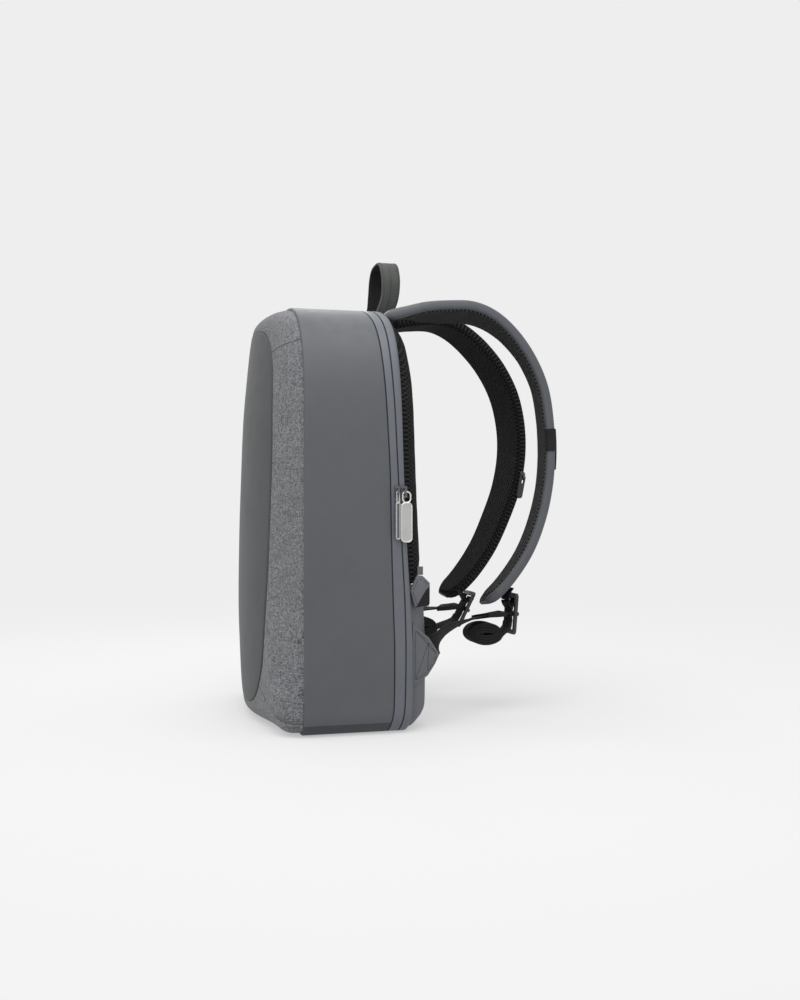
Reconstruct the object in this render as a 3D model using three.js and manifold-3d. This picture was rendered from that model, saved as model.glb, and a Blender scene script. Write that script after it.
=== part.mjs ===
import * as THREE from 'three';
import Module from 'manifold-3d';
import { mergeVertices } from 'three/addons/utils/BufferGeometryUtils.js';

const wasm = await Module();
wasm.setup();

// Gap left between neighbouring pieces
const GAP = 0.3;

// Body outline seen from the front, base on the floor, front towards -Y
const BODY = { width: 302, height: 451, baseRadius: 22, crownDepth: 150, crownPower: 3.2 };
const SHELL = { wall: 2.4, frontY: -34, lipDrop: 1.3, seamZ: 12 };
const STEPS = { base: 4, corner: 3, side: 7, crown: 9, search: 30 };

// Front of the bag: wall thickness, how far the cloth tucks under the shell
const FRONT = {
  wall: 2.5, tuck: 7, rimY: -33, panelEdge: 1.6, panelRaise: 0.9,
  shares: [0.04, 0.16, 0.4, 0.7, 1], panelShares: [0.34, 0.68, 1], panelBackShare: 0.6,
};

// Depth of the domed front behind which height
const FRONT_DOME = [
  { z: 0, depth: 28 },
  { z: 12, depth: 39 },
  { z: 30, depth: 42 },
  { z: 64, depth: 44 },
  { z: 130, depth: 46 },
  { z: 205, depth: 45 },
  { z: 266, depth: 43 },
  { z: 327, depth: 40.5 },
  { z: 380, depth: 36 },
  { z: 415, depth: 32.5 },
  { z: 451, depth: 27 },
];

// Roundness of the cloth between rim and panel, from nearly straight to square
const FRONT_ROUND = [
  { z: 0, power: 4 },
  { z: 14, power: 3 },
  { z: 45, power: 1.5 },
  { z: 110, power: 1.15 },
  { z: 330, power: 1.15 },
  { z: 400, power: 1.4 },
  { z: 430, power: 1.8 },
  { z: 451, power: 2.2 },
];

// Half width of the smooth front panel over its height
const PANEL_EDGE = [
  { z: 18, half: 0 },
  { z: 21, half: 32 },
  { z: 28, half: 50 },
  { z: 40, half: 63 },
  { z: 60, half: 74 },
  { z: 95, half: 82 },
  { z: 157, half: 90 },
  { z: 229, half: 94 },
  { z: 300, half: 95 },
  { z: 356, half: 91 },
  { z: 384, half: 85 },
  { z: 400, half: 77 },
  { z: 413, half: 64 },
  { z: 421, half: 48 },
  { z: 426, half: 24 },
  { z: 427, half: 0 },
];
const PANEL_CENTRE_Z = 225;

// Rear lines of the side walls over the height
const REAR_LINES = [
  { z: 0, groove: 55, zip: 66.5, rim: 76.5 },
  { z: 30, groove: 59.5, zip: 71, rim: 79.5 },
  { z: 85, groove: 60, zip: 72, rim: 79.8 },
  { z: 125, groove: 58.8, zip: 71.2, rim: 78.2 },
  { z: 189, groove: 57, zip: 68, rim: 74.2 },
  { z: 263, groove: 55.5, zip: 64, rim: 70.8 },
  { z: 322, groove: 52.5, zip: 61, rim: 68.8 },
  { z: 380, groove: 49.2, zip: 58, rim: 67.2 },
  { z: 425, groove: 46.5, zip: 56.5, rim: 66.5 },
  { z: 451, groove: 42, zip: 54, rim: 64 },
];
const BAND = { wall: 2.4, chamfer: 1 };
const RIM = { wall: 2.6, round: 2.4, roundShare: 0.3, flange: 9 };

// Padded back: mesh cushion above, smooth lumbar block below
const PAD = {
  inset: 9.4, bottomZ: 152, corner: 10, cornerShare: 0.3, sideFrom: 20, footShares: [0.35, 0.7], seam: 1,
  heart: { x: 0, z: 300 },
};
const PAD_RISE = [
  { share: 0, rise: 0 },
  { share: 0.1, rise: 10 },
  { share: 0.22, rise: 17.5 },
  { share: 0.45, rise: 24 },
  { share: 1, rise: 26.5 },
];
const LUMBAR = {
  topZ: 151, bottomZ: 1, inset: 10, cornerRadius: 21, seat: 0.6, seam: 1, narrow: 0.5, footShare: 0.5,
  turns: [0, 30, 60, 90],
};
const LUMBAR_RISE = [
  { share: 0, rise: 0 },
  { share: 0.07, rise: 10 },
  { share: 0.16, rise: 16.5 },
  { share: 0.4, rise: 20.5 },
  { share: 1, rise: 21.5 },
];

// Top handle: webbing loop that turns from its sewn ends to the grip
const HANDLE = { width: 22, thick: 3.2, edge: 0.9, stations: 20 };
const HANDLE_PATH = [
  { x: -36, y: 75.5, z: 443.6, turn: 32 },
  { x: -36, y: 85, z: 462, turn: 22 },
  { x: -36.5, y: 87.5, z: 482, turn: 8 },
  { x: -34, y: 88, z: 499, turn: 2 },
  { x: -25, y: 88, z: 509.5, turn: 0 },
  { x: -9, y: 88, z: 513, turn: 0 },
  { x: 9, y: 88, z: 512, turn: 0 },
  { x: 24, y: 87, z: 503, turn: 0 },
  { x: 34, y: 86, z: 487, turn: -4 },
  { x: 37, y: 83.5, z: 467, turn: -16 },
  { x: 36, y: 74.5, z: 443.6, turn: -28 },
];

// Shoulder straps: outer edge of the grey face, width, twist of both, further turn of the right one
// and shift of the left one
const STRAP = {
  half: 28, thick: 8.4, meshThick: 2.6, meshMargin: 4.5, meshEdge: 0.9, edge: 2.4,
  stations: 51, meshFrom: 5, meshGap: 1.1,
};
const STRAP_PATH = [
  { y: 65.6, z: 444.6, x: 73, half: 12, twist: 0, rightTurn: 0, leftShift: 0 },
  { y: 87, z: 450.5, x: 72, half: 13.5, twist: 0, rightTurn: 0, leftShift: 0 },
  { y: 99, z: 454.5, x: 66, half: 20, twist: 0, rightTurn: -2, leftShift: 0 },
  { y: 113, z: 458, x: 59, half: 27.5, twist: 0, rightTurn: -5, leftShift: 0 },
  { y: 140, z: 461.2, x: 58, half: 28, twist: 1, rightTurn: -10, leftShift: -2 },
  { y: 170, z: 461, x: 58, half: 28, twist: 3, rightTurn: -11, leftShift: -4 },
  { y: 196, z: 451, x: 58, half: 28, twist: 6, rightTurn: -8, leftShift: -6 },
  { y: 220, z: 431, x: 58, half: 28, twist: 9, rightTurn: -4, leftShift: -6 },
  { y: 241, z: 403, x: 58, half: 28, twist: 11, rightTurn: -1, leftShift: -4 },
  { y: 256, z: 370, x: 58, half: 28, twist: 12, rightTurn: 0, leftShift: -2 },
  { y: 263, z: 332, x: 58, half: 28, twist: 12, rightTurn: 0, leftShift: 0 },
  { y: 265, z: 296, x: 58, half: 28, twist: 12, rightTurn: 0, leftShift: -1 },
  { y: 262, z: 256, x: 58, half: 28, twist: 12, rightTurn: 0, leftShift: -5 },
  { y: 253.5, z: 218, x: 58, half: 28, twist: 11, rightTurn: 0, leftShift: -10 },
  { y: 239, z: 182, x: 58, half: 27.5, twist: 10, rightTurn: 0, leftShift: -12 },
  { y: 218.5, z: 151.5, x: 58, half: 26.5, twist: 9, rightTurn: 0, leftShift: -12 },
  { y: 201.5, z: 133, x: 58, half: 24.5, twist: 8, rightTurn: 0, leftShift: -12 },
  { y: 188.5, z: 123, x: 58, half: 18, twist: 8, rightTurn: 0, leftShift: -12 },
];

// Elastic sleeve round the right strap and its folded tail, places counted in strap rows
const ELASTIC = {
  fromRow: 10.3, toRow: 11, tailToRow: 11.5, thick: 1.8, clear: 0.6, tailHalf: 11, tailThick: 3,
};

// Webbing, ladder buckle, keeper and rolled tail below each strap
const WEBBING = { width: 25, thick: 1.5, steps: 60, endSteps: 16, leaveTurn: 84, underShare: 0.5 };
const BUCKLE = {
  x: 61, width: 34, thick: 3.4, rail: 4.5, bar: 5, corner: 3, knobRadius: 2.6,
  knobOut: 1.2, knobSides: 8, windowCorner: 1,
};
const KEEPER = { fromShare: 0.79, toShare: 0.94, thick: 1.4, clear: 0.45 };
const ROLL = {
  halfLong: 21.5, halfShort: 14, turns: 3, pitch: 3.1, thick: 2, perTurn: 14, startTurn: -12,
  lead: [{ up: 13, front: 3.2 }, { up: 6.5, front: 4.2 }],
};

// Webbing that leaves the outer face of each strap
const END_WEBBING = [
  { y: 219.2, z: 141 },
  { y: 216.2, z: 137.4 },
  { y: 214.4, z: 132 },
  { y: 214, z: 124 },
  { y: 217.8, z: 117 },
];

// Lower webbing from under the wing to the buckle, turn of its width out of the flat in degrees
// and how much further the right one turns
const LOWER_WEBBING = [
  { x: 121, y: 120, z: 98, turn: 58, rightTurn: 6 },
  { x: 108, y: 134, z: 102, turn: 28, rightTurn: 16 },
  { x: 90, y: 152, z: 104.5, turn: 13, rightTurn: 16 },
  { x: 72, y: 170, z: 106.9, turn: 5, rightTurn: 14 },
  { x: 62, y: 184, z: 109, turn: 0, rightTurn: 9 },
  { x: 61, y: 200, z: 110.6, turn: 0, rightTurn: 4 },
  { x: 61, y: 218.1, z: 112.4, turn: 0, rightTurn: 0 },
];

// Each side has its own hang: shift of the strap end and places of buckle and roll
const LOWER_SETS = [
  {
    side: 'right', sign: 1, endShiftY: 0, shiftY: 0, shiftZ: 0,
    buckleTop: { y: 222, z: 135 }, buckleBottom: { y: 218.5, z: 89 }, roll: { y: 186.5, z: 91 },
  },
  {
    side: 'left', sign: -1, endShiftY: -12.4, shiftY: -15.3, shiftZ: -2,
    buckleTop: { y: 213.5, z: 127 }, buckleBottom: { y: 192.5, z: 85.5 }, roll: { y: 147, z: 86.5 },
  },
];

// Triangular wing sewn to the side of the lumbar block, outline as y and z
const WING = {
  rootX: BODY.width / 2 - 9.8, rootY: 86, tipX: BODY.width / 2 - 18, tipY: 113, thick: 2.2,
  tuck: 10, slack: 0.4, straight: 1.5,
};
const WING_OUTLINE = [
  { y: 80.6, z: 47 },
  { y: 99, z: 57 },
  { y: 108, z: 69 },
  { y: 113, z: 78.5 },
  { y: 100.5, z: 96.5 },
  { y: 80.6, z: 113 },
];

// Folded tab at the side of the back with a small zip slider above it
const TAB = {
  x: BODY.width / 2 - 8.6, thick: 4.8, slider: { width: 6, height: 8.6, thick: 3.6, y: 88.4, corner: 2 },
};
const TAB_OUTLINE = [
  { y: 82.9, z: 128.6 },
  { y: 97.6, z: 130.6 },
  { y: 98.8, z: 133 },
  { y: 98.9, z: 154.6 },
  { y: 91.2, z: 162 },
  { y: 85, z: 162.7 },
  { y: 77.5, z: 147 },
];

// Zip sliders with a bridge, pullers that hang from it by their top bar, and their clearance from
// the side wall; each is placed from one of the rear lines
const SLIDER = { plate: 1.6, height: 12, bridgeHigh: 8, wall: 1.2, room: 4, root: 0.4 };
const PULLER = { thick: 2.6, bar: 1.8, windowHigh: 8.5, corner: 2.2, windowCorner: 0.6 };
const ZIP_CLEAR = 0.4;
const ZIPS = [
  {
    name: 'front', line: 'zip', shift: -2.34, z: 249, plateWide: 5, bridgeWide: 1.6,
    pull: { shift: 0, width: 5.4, windowWide: 3.4, length: 50 },
  },
  {
    name: 'rear', line: 'rim', shift: -1.94, z: 249, plateWide: 6.4, bridgeWide: 2.4,
    pull: { shift: 1.9, width: 12.4, windowWide: 8.8, length: 53 },
  },
];

// Pocket zip on the inner edge of the left strap, place counted in strap rows
const POCKET = {
  row: 11.6, clear: 0.5, plateWide: 5.4, bridgeWide: 1.8, height: 10,
  pull: { width: 7, windowWide: 4.2, length: 29 },
};

const material = (color, roughness, metalness = 0) =>
  new THREE.MeshStandardMaterial({ color, roughness, metalness });
const SLATE = material(0x66696d, 0.62);
const BAND_GREY = material(0x666a75, 0.55);
const DARK_SLATE = material(0x55585d, 0.65);
const PANEL_GREY = material(0x63666a, 0.6);
const HEATHER = material(0x7d8084, 0.95);
const MESH_BLACK = material(0x262827, 0.95);
const WEB_BLACK = material(0x2b2c2b, 0.85);
const WEB_GREY = material(0x4b4e4c, 0.85);
const STRAP_GREY = material(0x6a6d71, 0.62);
const PLASTIC = material(0x232424, 0.45);
const SILVER = material(0xa9aaa7, 0.35, 1);
const GUNMETAL = material(0x55585a, 0.4, 1);

const group = new THREE.Group();
group.name = 'anti_theft_backpack';

const degrees = (value) => (value * Math.PI) / 180;
const mix = (a, b, share) => a + (b - a) * share;

// Value of one column between the rows of a table
function lookUp(rows, key, column, value) {
  const last = rows.length - 1;
  if (value <= rows[0][key]) return rows[0][column];
  if (value >= rows[last][key]) return rows[last][column];
  const next = rows.findIndex((row) => row[key] >= value);
  const low = rows[next - 1];
  const high = rows[next];
  return mix(low[column], high[column], (value - low[key]) / (high[key] - low[key]));
}

// Closed solid from points and triangles, turned so that its faces look outwards
function solid(points, triangles) {
  let volume = 0;
  for (const [a, b, c] of triangles) {
    volume += points[a].dot(new THREE.Vector3().crossVectors(points[b], points[c]));
  }
  const faces = volume < 0 ? triangles.map(([a, b, c]) => [a, c, b]) : triangles;
  const geometry = new THREE.BufferGeometry();
  geometry.setAttribute(
    'position',
    new THREE.Float32BufferAttribute(points.flatMap((point) => point.toArray()), 3),
  );
  geometry.setIndex(faces.flat());
  return geometry;
}

// Two triangles for each cell between neighbouring loops
function cells(triangles, loopA, loopB, from, to, count) {
  for (let step = from; step < to; step += 1) {
    const next = (step + 1) % count;
    triangles.push([loopA * count + step, loopB * count + step, loopB * count + next]);
    triangles.push([loopA * count + step, loopB * count + next, loopA * count + next]);
  }
}

// Closed ring whose cross section joins the last loop to the first
function ringSolid(loops) {
  const count = loops[0].length;
  const triangles = [];
  loops.forEach((_, index) => cells(triangles, index, (index + 1) % loops.length, 0, count, count));
  return solid(loops.flat(), triangles);
}

// Piece of such a ring between two places of its loops, with capped ends
function archSolid(loops) {
  const count = loops[0].length;
  const triangles = [];
  loops.forEach((_, index) => {
    cells(triangles, index, (index + 1) % loops.length, 0, count - 1, count);
  });
  for (let index = 1; index < loops.length - 1; index += 1) {
    triangles.push([0, (index + 1) * count, index * count]);
    triangles.push([count - 1, index * count + count - 1, (index + 1) * count + count - 1]);
  }
  return solid(loops.flat(), triangles);
}

// Plate whose loops shrink to one point on both faces
function plateSolid(topPoint, loops, bottomPoint) {
  const count = loops[0].length;
  const points = [...loops.flat(), topPoint, bottomPoint];
  const top = points.length - 2;
  const bottom = points.length - 1;
  const triangles = [];
  for (let index = 0; index < loops.length - 1; index += 1) {
    cells(triangles, index, index + 1, 0, count, count);
  }
  const lastLoop = (loops.length - 1) * count;
  for (let step = 0; step < count; step += 1) {
    const next = (step + 1) % count;
    triangles.push([top, step, next]);
    triangles.push([bottom, lastLoop + next, lastLoop + step]);
  }
  return solid(points, triangles);
}

// Bar through a row of convex sections with flat ends
function barSolid(sections) {
  const count = sections[0].length;
  const triangles = [];
  for (let index = 0; index < sections.length - 1; index += 1) {
    cells(triangles, index, index + 1, 0, count, count);
  }
  const lastLoop = (sections.length - 1) * count;
  for (let step = 1; step < count - 1; step += 1) {
    triangles.push([0, step, step + 1]);
    triangles.push([lastLoop, lastLoop + step + 1, lastLoop + step]);
  }
  return solid(sections.flat(), triangles);
}

function add(name, geometry, finish, parent = group) {
  const mesh = new THREE.Mesh(geometry, finish);
  mesh.name = name;
  parent.add(mesh);
  return mesh;
}

// Outline of the bag from the front as x and z pairs, starting at the middle of the base
function outline(inset = 0, seamZ = SHELL.seamZ) {
  const half = BODY.width / 2 - inset;
  const top = BODY.height - inset;
  const radius = BODY.baseRadius - inset;
  const crownZ = BODY.height - BODY.crownDepth;
  const centreX = half - radius;
  const centreZ = inset + radius;
  const right = [];
  for (let step = 0; step < STEPS.base; step += 1) {
    right.push([(centreX * step) / STEPS.base, inset]);
  }
  const seamTurn = Math.acos((BODY.baseRadius - seamZ) / BODY.baseRadius);
  for (let step = 0; step <= STEPS.corner; step += 1) {
    const turn = (seamTurn * step) / STEPS.corner;
    right.push([centreX + radius * Math.sin(turn), centreZ - radius * Math.cos(turn)]);
  }
  const seamIndex = right.length - 1;
  right.push([half, centreZ]);
  for (let step = 1; step <= STEPS.side; step += 1) {
    right.push([half, mix(centreZ, crownZ, step / STEPS.side)]);
  }
  for (let step = 1; step <= STEPS.crown; step += 1) {
    const turn = degrees((90 * step) / STEPS.crown);
    const x = half * Math.cos(turn) ** (2 / BODY.crownPower);
    const z = crownZ + (top - crownZ) * Math.sin(turn) ** (2 / BODY.crownPower);
    right.push([step === STEPS.crown ? 0 : x, z]);
  }
  const left = right.slice(1, -1).reverse().map(([x, z]) => [-x, z]);
  return { points: [...right, ...left], seamIndex, rightCount: right.length };
}

const rearY = (line, z) => lookUp(REAR_LINES, 'z', line, z);
const loopAt = (inset, yOf) => outline(inset).points.map(([x, z]) => new THREE.Vector3(x, yOf(z), z));

// Side walls: loops from the front lip over the outer face to the rear and back inside
function wallLoops(inset, wall, frontOf, rearOf, lip, chamfer) {
  return [
    loopAt(inset + lip, frontOf),
    loopAt(inset, (z) => frontOf(z) + lip),
    loopAt(inset, (z) => rearOf(z) - chamfer),
    loopAt(inset + chamfer, rearOf),
    loopAt(inset + wall, rearOf),
    loopAt(inset + wall, frontOf),
  ];
}

const frontLine = () => SHELL.frontY;
const shellLoops = wallLoops(
  0, SHELL.wall, frontLine, (z) => rearY('groove', z) - GAP / 2, SHELL.lipDrop, BAND.chamfer,
);
const seam = outline().seamIndex;
const ringCount = shellLoops[0].length;

// The gusset goes over the top from seam to seam, the base panel closes it below
const overTop = shellLoops.map((loop) => loop.slice(seam, ringCount - seam + 1));
overTop.forEach((loop) => {
  loop[0] = loop[0].clone().setZ(loop[0].z + GAP);
  loop[loop.length - 1] = loop[loop.length - 1].clone().setZ(loop[loop.length - 1].z + GAP);
});
add('main_shell', archSolid(overTop), SLATE);
const underBase = shellLoops.map((loop) => [...loop.slice(ringCount - seam), ...loop.slice(0, seam + 1)]);
add('base_panel', archSolid(underBase), DARK_SLATE);

// Cover band over the zip and the rim behind it
add('zip_cover_band', ringSolid(wallLoops(
  0, BAND.wall, (z) => rearY('groove', z) + GAP / 2, (z) => rearY('zip', z) - GAP / 2,
  BAND.chamfer, BAND.chamfer,
)), BAND_GREY);
const rimFront = (z) => rearY('zip', z) + GAP / 2;
const rimRear = (z) => rearY('rim', z);
add('rear_rim', ringSolid([
  loopAt(BAND.chamfer, rimFront),
  loopAt(0, (z) => rimFront(z) + BAND.chamfer),
  loopAt(0, (z) => rimRear(z) - RIM.round),
  loopAt(RIM.round * RIM.roundShare, (z) => rimRear(z) - RIM.round * RIM.roundShare),
  loopAt(RIM.round, rimRear),
  loopAt(RIM.flange, rimRear),
  loopAt(RIM.flange, (z) => rimRear(z) - RIM.wall),
  loopAt(RIM.wall, (z) => rimRear(z) - RIM.wall),
  loopAt(RIM.wall, rimFront),
]), BAND_GREY);

// Edge of the front panel along a ray from its centre
function panelEdge(x, z, shrink = 0) {
  const deltaZ = z - PANEL_CENTRE_Z;
  let low = 0;
  let high = 1;
  for (let step = 0; step < STEPS.search; step += 1) {
    const share = (low + high) / 2;
    const height = PANEL_CENTRE_Z + deltaZ * share;
    const inside = height > PANEL_EDGE[0].z && height < PANEL_EDGE[PANEL_EDGE.length - 1].z
      && Math.abs(x * share) < lookUp(PANEL_EDGE, 'z', 'half', height);
    if (inside) {
      low = share;
    } else {
      high = share;
    }
  }
  const length = Math.hypot(x, deltaZ) * low;
  const share = (low * (length - shrink)) / length;
  return [x * share, PANEL_CENTRE_Z + deltaZ * share];
}

// Half width of the rim at a height
function rimHalf(z) {
  const half = BODY.width / 2;
  const crownZ = BODY.height - BODY.crownDepth;
  if (z < BODY.baseRadius) {
    const drop = BODY.baseRadius - z;
    return half - BODY.baseRadius + Math.sqrt(BODY.baseRadius ** 2 - drop ** 2);
  }
  if (z < crownZ) return half;
  const share = Math.min((z - crownZ) / BODY.crownDepth, 1);
  return half * (1 - share ** BODY.crownPower) ** (1 / BODY.crownPower);
}

const domeY = (x, z) => FRONT.rimY - lookUp(FRONT_DOME, 'z', 'depth', z) * (1 - (x / rimHalf(z)) ** 2);

// Cloth surround from under the shell lip to the edge of the panel
const clothInset = SHELL.wall + GAP;
const rimOuter = outline(clothInset).points;
const rimInner = outline(clothInset + FRONT.wall).points;
const clothOuter = [];
const clothInner = [];
for (const share of FRONT.shares) {
  const outer = [];
  const inner = [];
  rimOuter.forEach(([x, z], index) => {
    const [edgeX, edgeZ] = panelEdge(x, z);
    const power = lookUp(FRONT_ROUND, 'z', 'power', z);
    const rise = (1 - (1 - share) ** power) ** (1 / power);
    const y = mix(FRONT.rimY, domeY(edgeX, edgeZ), rise);
    outer.push(new THREE.Vector3(mix(x, edgeX, share), y, mix(z, edgeZ, share)));
    const [innerX, innerZ] = rimInner[index];
    const innerY = y + FRONT.wall * rise;
    inner.push(new THREE.Vector3(mix(innerX, edgeX, share), innerY, mix(innerZ, edgeZ, share)));
  });
  clothOuter.push(outer);
  clothInner.unshift(inner);
}
add('front_fabric', ringSolid([
  loopAt(clothInset, () => FRONT.rimY + FRONT.tuck),
  loopAt(clothInset, () => FRONT.rimY),
  ...clothOuter,
  ...clothInner,
  loopAt(clothInset + FRONT.wall, () => FRONT.rimY + GAP),
  loopAt(clothInset + FRONT.wall, () => FRONT.rimY + FRONT.tuck),
]), HEATHER);

// Smooth domed panel inside the surround, its edge rounded
const panelLoop = (shrink, share, raise) => rimOuter.map(([x, z]) => {
  const [edgeX, edgeZ] = panelEdge(x, z, shrink);
  const pointX = edgeX * share;
  const pointZ = mix(PANEL_CENTRE_Z, edgeZ, share);
  return new THREE.Vector3(pointX, domeY(pointX, pointZ) + raise, pointZ);
});
const panelCentre = (raise) => new THREE.Vector3(0, domeY(0, PANEL_CENTRE_Z) + raise, PANEL_CENTRE_Z);
add('front_panel', plateSolid(panelCentre(-FRONT.panelRaise), [
  ...FRONT.panelShares.map((share) => panelLoop(FRONT.panelEdge, share, -FRONT.panelRaise)),
  panelLoop(GAP, 1, 0),
  panelLoop(GAP, 1, FRONT.wall),
  panelLoop(GAP, FRONT.panelBackShare, FRONT.wall),
], panelCentre(FRONT.wall)), PANEL_GREY);

// Mesh cushion of the back, its foot straight above the lumbar block
function padOutline(inset) {
  const foot = PAD.bottomZ + GAP + inset - PAD.inset;
  const { points, rightCount } = outline(inset);
  const right = points.slice(0, rightCount);
  const sides = right.filter(([, z]) => z > foot + PAD.sideFrom);
  const half = BODY.width / 2 - inset;
  const cut = PAD.corner * PAD.cornerShare;
  const lower = [
    [0, foot], ...PAD.footShares.map((share) => [half * share, foot]), [half - PAD.corner, foot],
    [half - cut, foot + cut], [half, foot + PAD.corner],
  ];
  const all = [...lower, ...sides];
  return [...all, ...all.slice(1, -1).reverse().map(([x, z]) => [-x, z])];
}
const padBase = padOutline(PAD.inset);
const padLoop = (share, yOf) => padBase.map(([x, z]) => {
  const pointX = mix(x, PAD.heart.x, share);
  const pointZ = mix(z, PAD.heart.z, share);
  return new THREE.Vector3(pointX, yOf(pointZ, z), pointZ);
});
const padRows = PAD_RISE.slice(0, -1);
const padSeat = (z) => rimRear(z) + GAP;
const padTopRise = PAD_RISE[PAD_RISE.length - 1].rise;
add('back_pad', plateSolid(
  new THREE.Vector3(PAD.heart.x, padSeat(PAD.heart.z) + padTopRise, PAD.heart.z),
  [
    ...padRows.slice().reverse().map((row) => padLoop(row.share, (z) => padSeat(z) + row.rise + PAD.seam)),
    padLoop(0, padSeat),
  ],
  new THREE.Vector3(PAD.heart.x, padSeat(PAD.heart.z), PAD.heart.z),
), MESH_BLACK);

// Smooth padded block across the lower back
const lumbarZ = (LUMBAR.topZ + LUMBAR.bottomZ) / 2;
function lumbarOutline() {
  const corner = LUMBAR.cornerRadius;
  const half = BODY.width / 2 - LUMBAR.inset;
  const right = [[0, LUMBAR.bottomZ], [half * LUMBAR.footShare, LUMBAR.bottomZ]];
  LUMBAR.turns.forEach((turn) => right.push([
    half - corner + corner * Math.sin(degrees(turn)),
    LUMBAR.bottomZ + corner - corner * Math.cos(degrees(turn)),
  ]));
  right.push([half, lumbarZ]);
  LUMBAR.turns.forEach((turn) => right.push([
    half - corner + corner * Math.cos(degrees(turn)),
    LUMBAR.topZ - corner + corner * Math.sin(degrees(turn)),
  ]));
  right.push([half * LUMBAR.footShare, LUMBAR.topZ], [0, LUMBAR.topZ]);
  return [...right, ...right.slice(1, -1).reverse().map(([x, z]) => [-x, z])];
}
const lumbarLoop = (share, rise) => lumbarOutline().map(([x, z]) => {
  const pointX = x * (1 - share * LUMBAR.narrow);
  const pointZ = mix(z, lumbarZ, share);
  return new THREE.Vector3(pointX, padSeat(pointZ) + LUMBAR.seat + rise, pointZ);
});
const lumbarTop = LUMBAR_RISE[LUMBAR_RISE.length - 1].rise;
add('lumbar_block', plateSolid(
  new THREE.Vector3(0, padSeat(lumbarZ) + lumbarTop, lumbarZ),
  [
    ...LUMBAR_RISE.slice(0, -1).reverse().map((row) => lumbarLoop(row.share, row.rise + LUMBAR.seam)),
    lumbarLoop(0, 0),
  ],
  new THREE.Vector3(0, padSeat(lumbarZ) + LUMBAR.seat, lumbarZ),
), DARK_SLATE);

// Section of a flat or softly edged band
function bandSection(centre, across, normal, width, thick, edge = 0) {
  const point = (a, n) => centre.clone().addScaledVector(across, a).addScaledVector(normal, n);
  const w = width / 2;
  const t = thick / 2;
  if (edge === 0) return [point(-w, -t), point(w, -t), point(w, t), point(-w, t)];
  return [
    point(-w + edge, -t), point(w - edge, -t), point(w, -t + edge), point(w, t - edge),
    point(w - edge, t), point(-w + edge, t), point(-w, t - edge), point(-w, -t + edge),
  ];
}

// Smooth curve through the rows of a table
const curveOf = (points) => new THREE.CatmullRomCurve3(points, false, 'centripetal');

// Handle
const handleCurve = curveOf(HANDLE_PATH.map((row) => new THREE.Vector3(row.x, row.y, row.z)));
const handleSections = [];
for (let step = 0; step <= HANDLE.stations; step += 1) {
  const t = step / HANDLE.stations;
  const along = handleCurve.getTangent(t);
  const place = t * (HANDLE_PATH.length - 1);
  const low = Math.min(Math.floor(place), HANDLE_PATH.length - 2);
  const turn = degrees(mix(HANDLE_PATH[low].turn, HANDLE_PATH[low + 1].turn, place - low));
  const wish = new THREE.Vector3(Math.sin(turn), Math.cos(turn), 0);
  const across = wish.addScaledVector(along, -wish.dot(along)).normalize();
  const normal = new THREE.Vector3().crossVectors(along, across);
  handleSections.push(bandSection(
    handleCurve.getPoint(t), across, normal, HANDLE.width, HANDLE.thick, HANDLE.edge,
  ));
}
add('top_handle', barSolid(handleSections), WEB_GREY);

// Frame of a strap at a share of its run: centre of the outer face, across and normal
function strapFrame(sign, t) {
  const place = t * (STRAP_PATH.length - 1);
  const low = Math.min(Math.floor(place), STRAP_PATH.length - 2);
  const column = (name) => mix(STRAP_PATH[low][name], STRAP_PATH[low + 1][name], place - low);
  const curve = sign > 0 ? strapCurves.right : strapCurves.left;
  const edge = curve.getPoint(t);
  const along = curve.getTangent(t);
  const normal = new THREE.Vector3(0, -along.z, along.y).normalize();
  const twist = degrees(column('twist') + (sign > 0 ? column('rightTurn') : 0));
  const across = new THREE.Vector3(Math.cos(twist), 0, 0).addScaledVector(normal, -Math.sin(twist));
  const turned = normal.clone().multiplyScalar(Math.cos(twist));
  turned.x = Math.sin(twist);
  const centre = edge.clone().setX(column('x')).addScaledVector(normal, STRAP.half * Math.sin(twist));
  if (sign < 0) {
    centre.x *= -1;
    across.set(across.x, -across.y, -across.z);
    turned.x *= -1;
  }
  return { centre, across, normal: turned, half: column('half') };
}
const strapCurves = {
  right: curveOf(STRAP_PATH.map((row) => new THREE.Vector3(0, row.y, row.z))),
  left: curveOf(STRAP_PATH.map((row) => new THREE.Vector3(0, row.y + row.leftShift, row.z))),
};

// Slab that follows a strap between two of its stations at a depth below its outer face
function strapSlab(sign, from, to, depthOf, thick, margin, edge, endMargin = 0) {
  const sections = [];
  for (let step = from; step <= to; step += 1) {
    const frame = strapFrame(sign, step / STRAP.stations);
    const centre = frame.centre.clone().addScaledVector(frame.normal, -depthOf - thick / 2);
    const half = frame.half - margin - (step === from || step === to ? endMargin : 0);
    sections.push(bandSection(centre, frame.across, frame.normal, half * 2, thick, edge));
  }
  return barSolid(sections);
}

for (const set of LOWER_SETS) {
  add(`strap_outer_${set.side}`, strapSlab(
    set.sign, 0, STRAP.stations, 0, STRAP.thick, 0, STRAP.edge,
  ), STRAP_GREY);
  add(`strap_mesh_${set.side}`, strapSlab(
    set.sign, STRAP.meshFrom, STRAP.stations - 1, STRAP.thick + STRAP.meshGap, STRAP.meshThick,
    STRAP.meshMargin, STRAP.meshEdge, STRAP.meshMargin,
  ), MESH_BLACK);
}

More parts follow.
